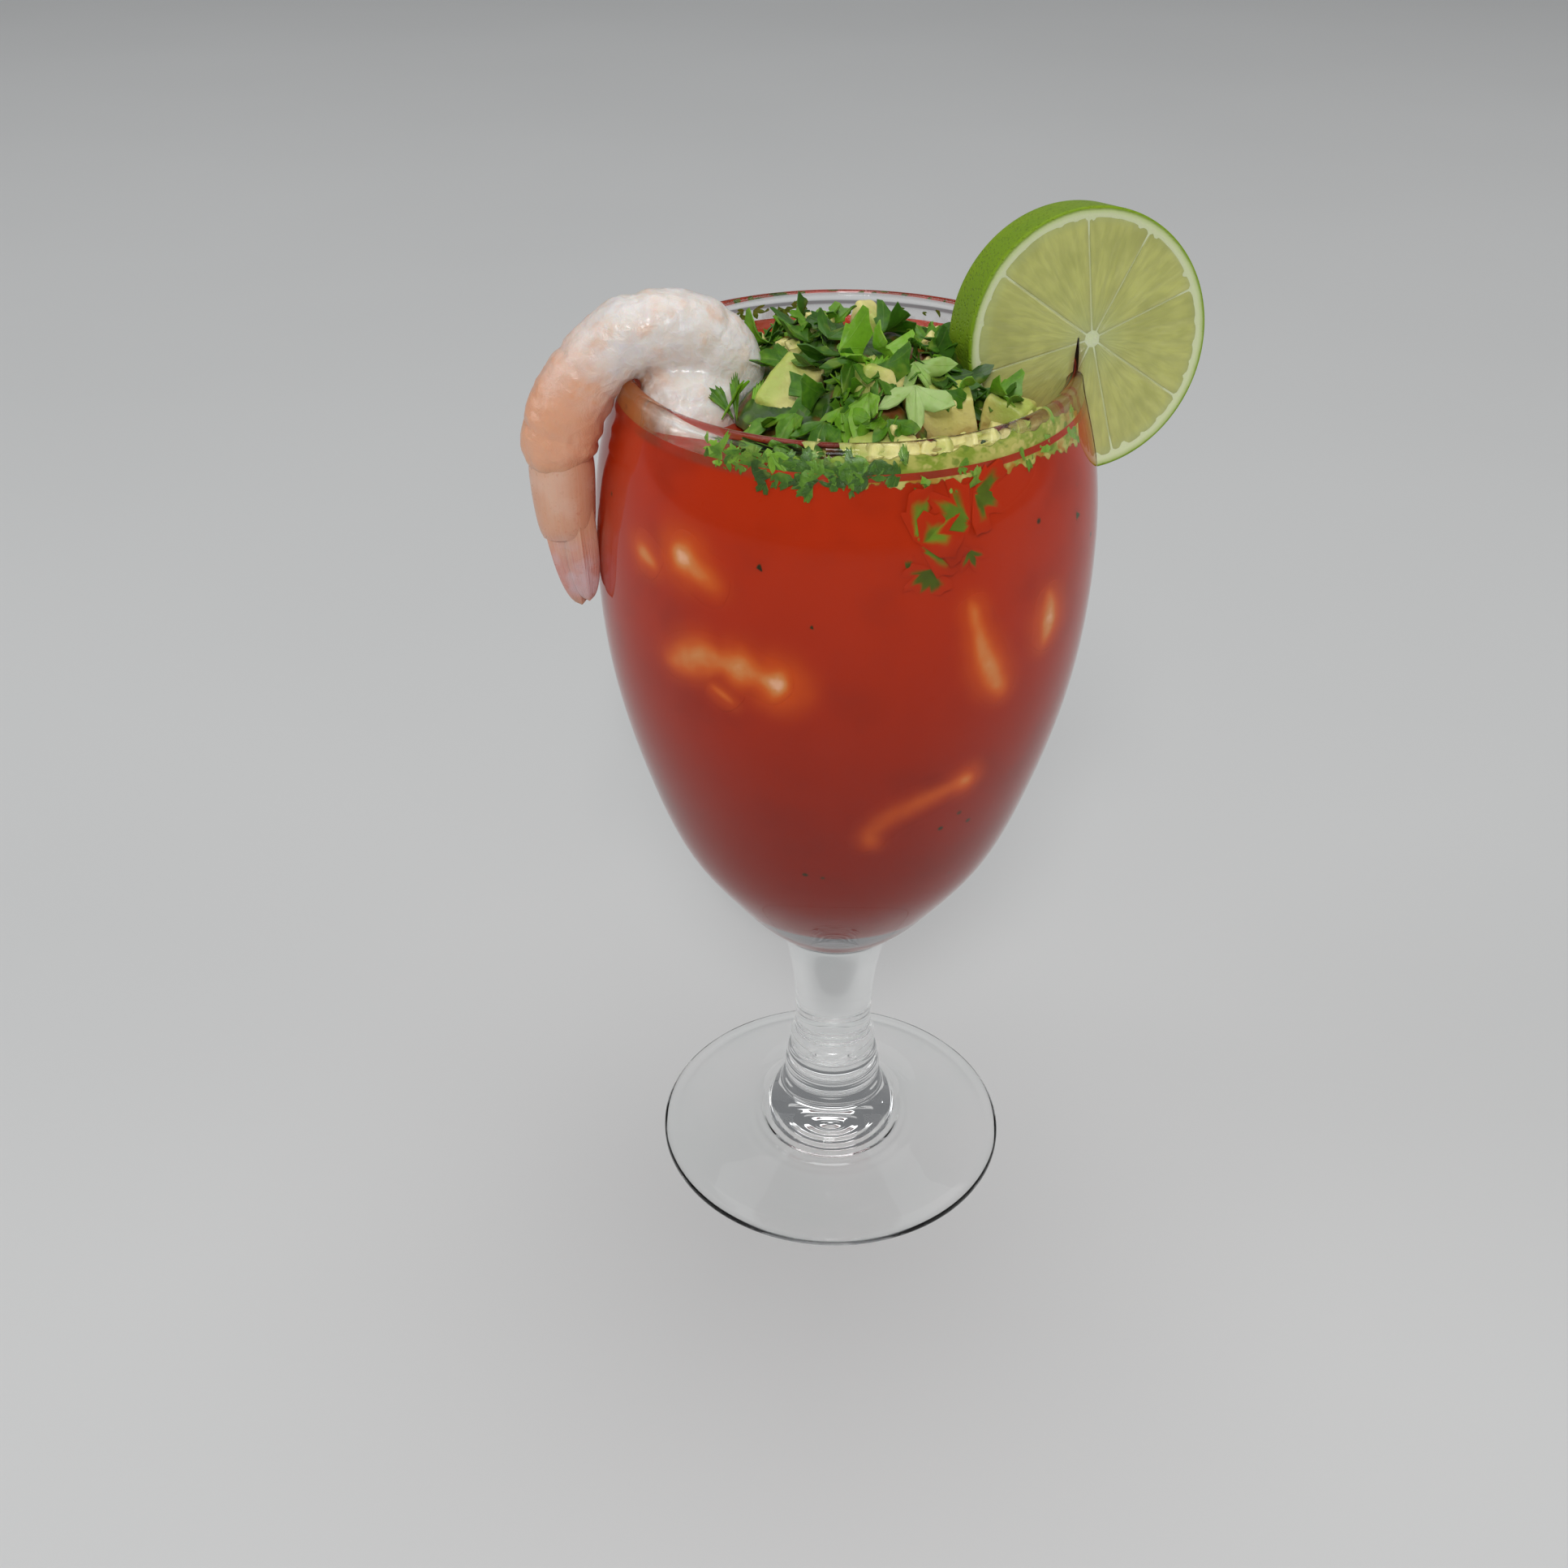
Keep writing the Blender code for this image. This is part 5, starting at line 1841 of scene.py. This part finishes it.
class COCKTAIL_OT_coriander(bpy.types.Operator):
    """Heaps the chopped coriander: leaves, stalks, and the leaves that show at the wall"""

    bl_idname = "cocktail.coriander"
    bl_label = "Coriander"

    def execute(self, context):
        topping = context.scene.cocktail_topping
        sauce = context.scene.cocktail_sauce
        tests = (prawn_tube(context.scene.cocktail_prawn), context.scene.cocktail_lime)
        kinds = [leaf_kind(kind, topping) for kind in range(len(LEAF_KINDS))]
        finish = leaf_finish(topping)
        rng = np.random.default_rng(7)
        leaves = []
        for base, (long, broad), heading, rise, roll, kind, shade in HERO_LEAVES:
            size = np.array([broad, long, long]) * HERO_SCALE / 1000
            turn = turn_to(heading, rise, roll)
            leaves.append(placed(kinds[kind], np.array(base) / 1000, turn, size, shade))
        small = topping.leaf
        loose = [kinds[kind] for kind in (0, 1, 2, 3, 4, 6, 6, 7, 7, 8)]
        leaves += scatter(topping.leaves, loose, rng, 0.0, 1.02, (0.55 * small, 1.10 * small), tests)
        keep(joined("coriander_leaves", leaves), finish, angle=75)
        stalk = stalk_kind()
        stalks = scatter(topping.stalks, [stalk], rng, 0.0, 1.0, (0.005, 0.009), tests)
        for part in stalks:
            part[2]["shade"] += 0.40
        base, turn, size, shade = LONG_STALK
        stalks.append(placed(stalk, base, turn_to(*turn), size, shade))
        keep(joined("coriander_stalks", stalks), finish, angle=75)
        keep(joined("coriander_at_wall", wall_scatter(kinds, rng)), finish, angle=75)
        sunk = []
        for spot, size, heading, kind, shade in SUNK_LEAVES:
            sunk.append(on_wall(kinds[kind], spot, size, heading, -0.00022, shade))
        keep(joined("coriander_in_sauce", sunk), sunk_leaf_finish(sauce), angle=75)
        return {"FINISHED"}


# Bits of avocado against the front wall: bearing in degrees, height in mm, size in mm, and how green they
# are from 0 to 1.
WALL_CRUMBS = (
    (-99, 177.3, (2.8, 2.2, 2.2), 0.8),
    (-90, 177.0, (3.0, 2.4, 2.2), 0.9),
    (-83, 177.5, (2.6, 2.6, 2.4), 0.6),
    (-76, 177.2, (4.2, 2.8, 2.6), 0.9),
    (-70, 177.8, (3.2, 2.8, 2.2), 0.3),
    (-64, 177.0, (4.4, 3.0, 3.0), 1.0),
    (-58, 177.8, (3.0, 2.6, 2.6), 0.4),
    (-52, 177.2, (4.2, 3.0, 2.8), 0.9),
    (-46, 178.0, (3.0, 2.8, 2.2), 0.2),
    (-40, 177.0, (4.0, 2.6, 3.0), 1.0),
    (-34, 177.9, (2.8, 2.4, 2.6), 0.7),
    (-28, 177.2, (3.0, 2.4, 3.0), 1.0),
)

# Avocado mashed against the front wall: bearing in degrees, and the heights of its lower and its upper edge
# in mm.
MASH_EDGES = (
    (-110, 177.4, 177.8),
    (-104, 176.0, 178.4),
    (-90, 174.4, 178.6),
    (-78, 173.9, 178.8),
    (-64, 173.7, 178.8),
    (-50, 173.5, 178.9),
    (-37, 173.3, 178.9),
    (-28, 172.2, 178.8),
    (-22, 171.6, 178.4),
    (-17, 174.6, 176.0),
)


def mash():
    """A thin ragged layer, just inside the glass's skin so that no air shows between."""
    edges = np.array(MASH_EDGES)

    def shape(across, along):
        bearing = edges[0, 0] + (edges[-1, 0] - edges[0, 0]) * across
        up = 1 - np.abs(2 * along - 1)
        low, high = [np.interp(bearing, edges[:, 0], edges[:, n]) for n in (1, 2)]
        low = low + 0.35 * np.sin(bearing * 0.9) + 0.25 * np.sin(bearing * 2.3 + 1)
        high = high - 0.30 - 0.30 * np.sin(bearing * 0.43) - 0.16 * np.sin(bearing * 1.27 + 2)
        height = (low + (high - low) * up) / 1000
        inward = 0.0006 * np.sin(math.pi * np.clip(2 * along - 1, 0, 1)) ** 0.5
        return polar(inside_radius(height) + 0.00024 - inward, np.radians(bearing), height)

    made = grid("avocado_mash", 240, 32, shape)
    across, along = grid_shares(240, 32)
    up = 1 - np.abs(2 * along - 1)
    bearing = edges[0, 0] + (edges[-1, 0] - edges[0, 0]) * across
    ends = np.minimum(across, 1 - across) * 240 / 14
    leafy = np.clip((-80 - bearing) / 14, 0, 1)
    note(made, "mash", np.stack([np.minimum(up * 5, ends), (1 - up) * 5, leafy], axis=1))
    close(made)
    return made


def mash_finish():
    """Soft green and yellow streaks, stained orange along the lower edge, which is ragged."""
    finish = Finish("avocado_mash", specular_ior_level=0.15)
    at = finish.place((1, 1, 1.3))
    low, high, leafy = finish.parts_of("mash")
    cloud = finish.noise(at, 230, 3, 0.6)
    lump = finish.noise(at, 420, 2)
    body = finish.mix(cloud.step(0.40, 0.60), (0.250, 0.330, 0.035), (0.480, 0.470, 0.110))
    body = finish.mix(lump.step(0.54, 0.66) * 0.7, body, (0.640, 0.560, 0.180))
    body = finish.mix((1 - lump.step(0.32, 0.44)) * 0.75, body, (0.120, 0.210, 0.014))
    stain = finish.noise(at, 300, 2).step(0.44, 0.60) * (1 - low.step(0.6, 2.6))
    body = finish.mix(stain * 0.85, body, (0.460, 0.150, 0.014))
    leaves = finish.mix(cloud.step(0.42, 0.58), (0.050, 0.130, 0.006), (0.200, 0.360, 0.022))
    body = finish.mix(leafy * 0.8, body, leaves)
    ragged = finish.noise(at, 240, 4, 0.65) * 3.6 - 1.7
    cover = (low + ragged).step(0.0, 0.35) * (high + ragged * 0.4).step(-0.1, 0.3)
    return finish.surface(body, lump * 0.3 + 0.3, finish.bump(cloud + lump, 0.0003, 0.8), Alpha=cover)


class COCKTAIL_OT_crumbs(bpy.types.Operator):
    """Scatters small bits of avocado in the heap, and mashes some against the front wall"""

    bl_idname = "cocktail.crumbs"
    bl_label = "Avocado bits"

    def execute(self, context):
        topping = context.scene.cocktail_topping
        tests = (prawn_tube(context.scene.cocktail_prawn), context.scene.cocktail_lime)
        rng = np.random.default_rng(21)
        kinds = [crumb_kind(seed) for seed in (1, 11, 23)]
        bits = scatter(topping.crumbs, kinds, rng, 0.1, 1.0, (0.0014, 0.0036), tests)
        for index, (bearing, height, size, skin) in enumerate(WALL_CRUMBS):
            size = np.array(size) / 1000
            reach = inside_radius(height / 1000) - size[1] * 0.75 - 0.0004 - rng.uniform(0, 0.0012)
            middle = polar(np.array([reach]), np.radians([bearing]), np.array([height / 1000]))[0]
            turn = turn_to(bearing - 90 + rng.uniform(-35, 35), rng.uniform(-35, 35), rng.uniform(-30, 30))
            bit = placed(kinds[index % 3], middle, turn, size, 0.5)
            bit[2]["skin"] = bit[2]["skin"] * 0.5 + skin * 0.5
            bits.append(bit)
        keep(joined("avocado_bits", bits), avocado_finish(topping), angle=75)
        keep(mash(), mash_finish(), angle=75)
        return {"FINISHED"}


# Stage

FLOOR_WIDTH = 12


def floor_finish():
    finish = Finish("pale_floor", roughness=0.6)
    cloud = finish.noise(finish.place(), 3, 3)
    return finish.surface(finish.mix(cloud, (0.66, 0.665, 0.66), (0.70, 0.705, 0.70)), cloud * 0.1 + 0.45)


def area_lamp(name, place, target, size, watts, tint=(1, 1, 1)):
    lamp = bpy.data.lights.new(name, "AREA")
    lamp.shape = "SQUARE"
    lamp.size = size
    lamp.energy = watts
    lamp.color = tint
    made = bpy.data.objects.new(name, lamp)
    made.location = place
    made.rotation_euler = (Vector(target) - Vector(place)).to_track_quat("-Z", "Y").to_euler()
    bpy.context.scene.collection.objects.link(made)


def camera():
    """The camera, from in front and above, a little turned and rolled."""
    yaw, pitch, roll = math.radians(-2.11), math.radians(32.80), math.radians(0.26)
    ahead = Vector((math.sin(yaw) * math.cos(pitch), math.cos(yaw) * math.cos(pitch), -math.sin(pitch)))
    level = Vector((math.cos(yaw), -math.sin(yaw), 0))
    up = level.cross(ahead)
    right = level * math.cos(roll) + up * math.sin(roll)
    top = up * math.cos(roll) - level * math.sin(roll)
    lens = bpy.data.cameras.new("camera")
    lens.sensor_width = 36
    lens.lens = 40.49
    lens.clip_start = 0.01
    made = bpy.data.objects.new("camera", lens)
    axes = Matrix((right, top, -ahead)).transposed().to_4x4()
    axes.translation = SEEN_FROM
    made.matrix_world = axes
    bpy.context.scene.collection.objects.link(made)
    bpy.context.scene.camera = made


class COCKTAIL_OT_stage(bpy.types.Operator):
    """Sets the pale floor, the soft studio light and the camera"""

    bl_idname = "cocktail.stage"
    bl_label = "Stage"

    def execute(self, context):
        floor = grid("floor", 8, 8, lambda u, v: np.stack([u - 0.5, v - 0.5, u * 0], axis=1) * FLOOR_WIDTH)
        floor.data.materials.append(floor_finish())
        aim = (0, 0, 0.12)
        area_lamp("key", (-0.08, -1.9, 2.0), aim, 0.62, 21.0)
        area_lamp("glint", (0.03, -1.10, 1.02), aim, 0.05, 2.0)
        area_lamp("top_soft", (0.1, 0.5, 2.4), aim, 2.0, 19.5)
        area_lamp("left_soft", (-2.2, -0.3, 1.2), aim, 1.4, 11.0, (0.96, 0.98, 1.0))
        area_lamp("right_soft", (2.2, -0.5, 1.1), aim, 1.4, 9.0, (1.0, 0.98, 0.95))
        world = bpy.data.worlds.new("studio")
        world.use_nodes = True
        world.node_tree.nodes["Background"].inputs["Color"].default_value = (0.80, 0.82, 0.85, 1)
        world.node_tree.nodes["Background"].inputs["Strength"].default_value = 0.22
        context.scene.world = world
        context.scene.view_settings.view_transform = "Standard"
        camera()
        return {"FINISHED"}


PIECES = (
    COCKTAIL_OT_goblet,
    COCKTAIL_OT_sauce,
    COCKTAIL_OT_sauce_film,
    COCKTAIL_OT_sunk_prawns,
    COCKTAIL_OT_rim_prawn,
    COCKTAIL_OT_lime_wheel,
    COCKTAIL_OT_avocado,
    COCKTAIL_OT_heap_core,
    COCKTAIL_OT_coriander,
    COCKTAIL_OT_crumbs,
    COCKTAIL_OT_stage,
)


class COCKTAIL_PT_panel(bpy.types.Panel):
    """Lists the pieces and their settings"""

    bl_idname = "COCKTAIL_PT_panel"
    bl_label = "Prawn cocktail"
    bl_space_type = "VIEW_3D"
    bl_region_type = "UI"
    bl_category = "Prawn cocktail"

    def draw(self, context):
        for name, group in GROUPS.items():
            box = self.layout.box()
            box.label(text=name.replace("cocktail_", "").capitalize())
            for field in group.__annotations__:
                box.prop(getattr(context.scene, name), field)
        for piece in PIECES:
            self.layout.operator(piece.bl_idname)


CLASSES = (*GROUPS.values(), *PIECES, COCKTAIL_PT_panel)


def register():
    for made in CLASSES:
        bpy.utils.register_class(made)
    for name, group in GROUPS.items():
        setattr(bpy.types.Scene, name, PointerProperty(type=group))


def unregister():
    for name in GROUPS:
        delattr(bpy.types.Scene, name)
    for made in reversed(CLASSES):
        bpy.utils.unregister_class(made)


def main():
    register()
    for piece in PIECES:
        getattr(bpy.ops.cocktail, piece.bl_idname.split(".")[1])()
    bpy.context.view_layer.update()


if __name__ == "__main__":
    main()
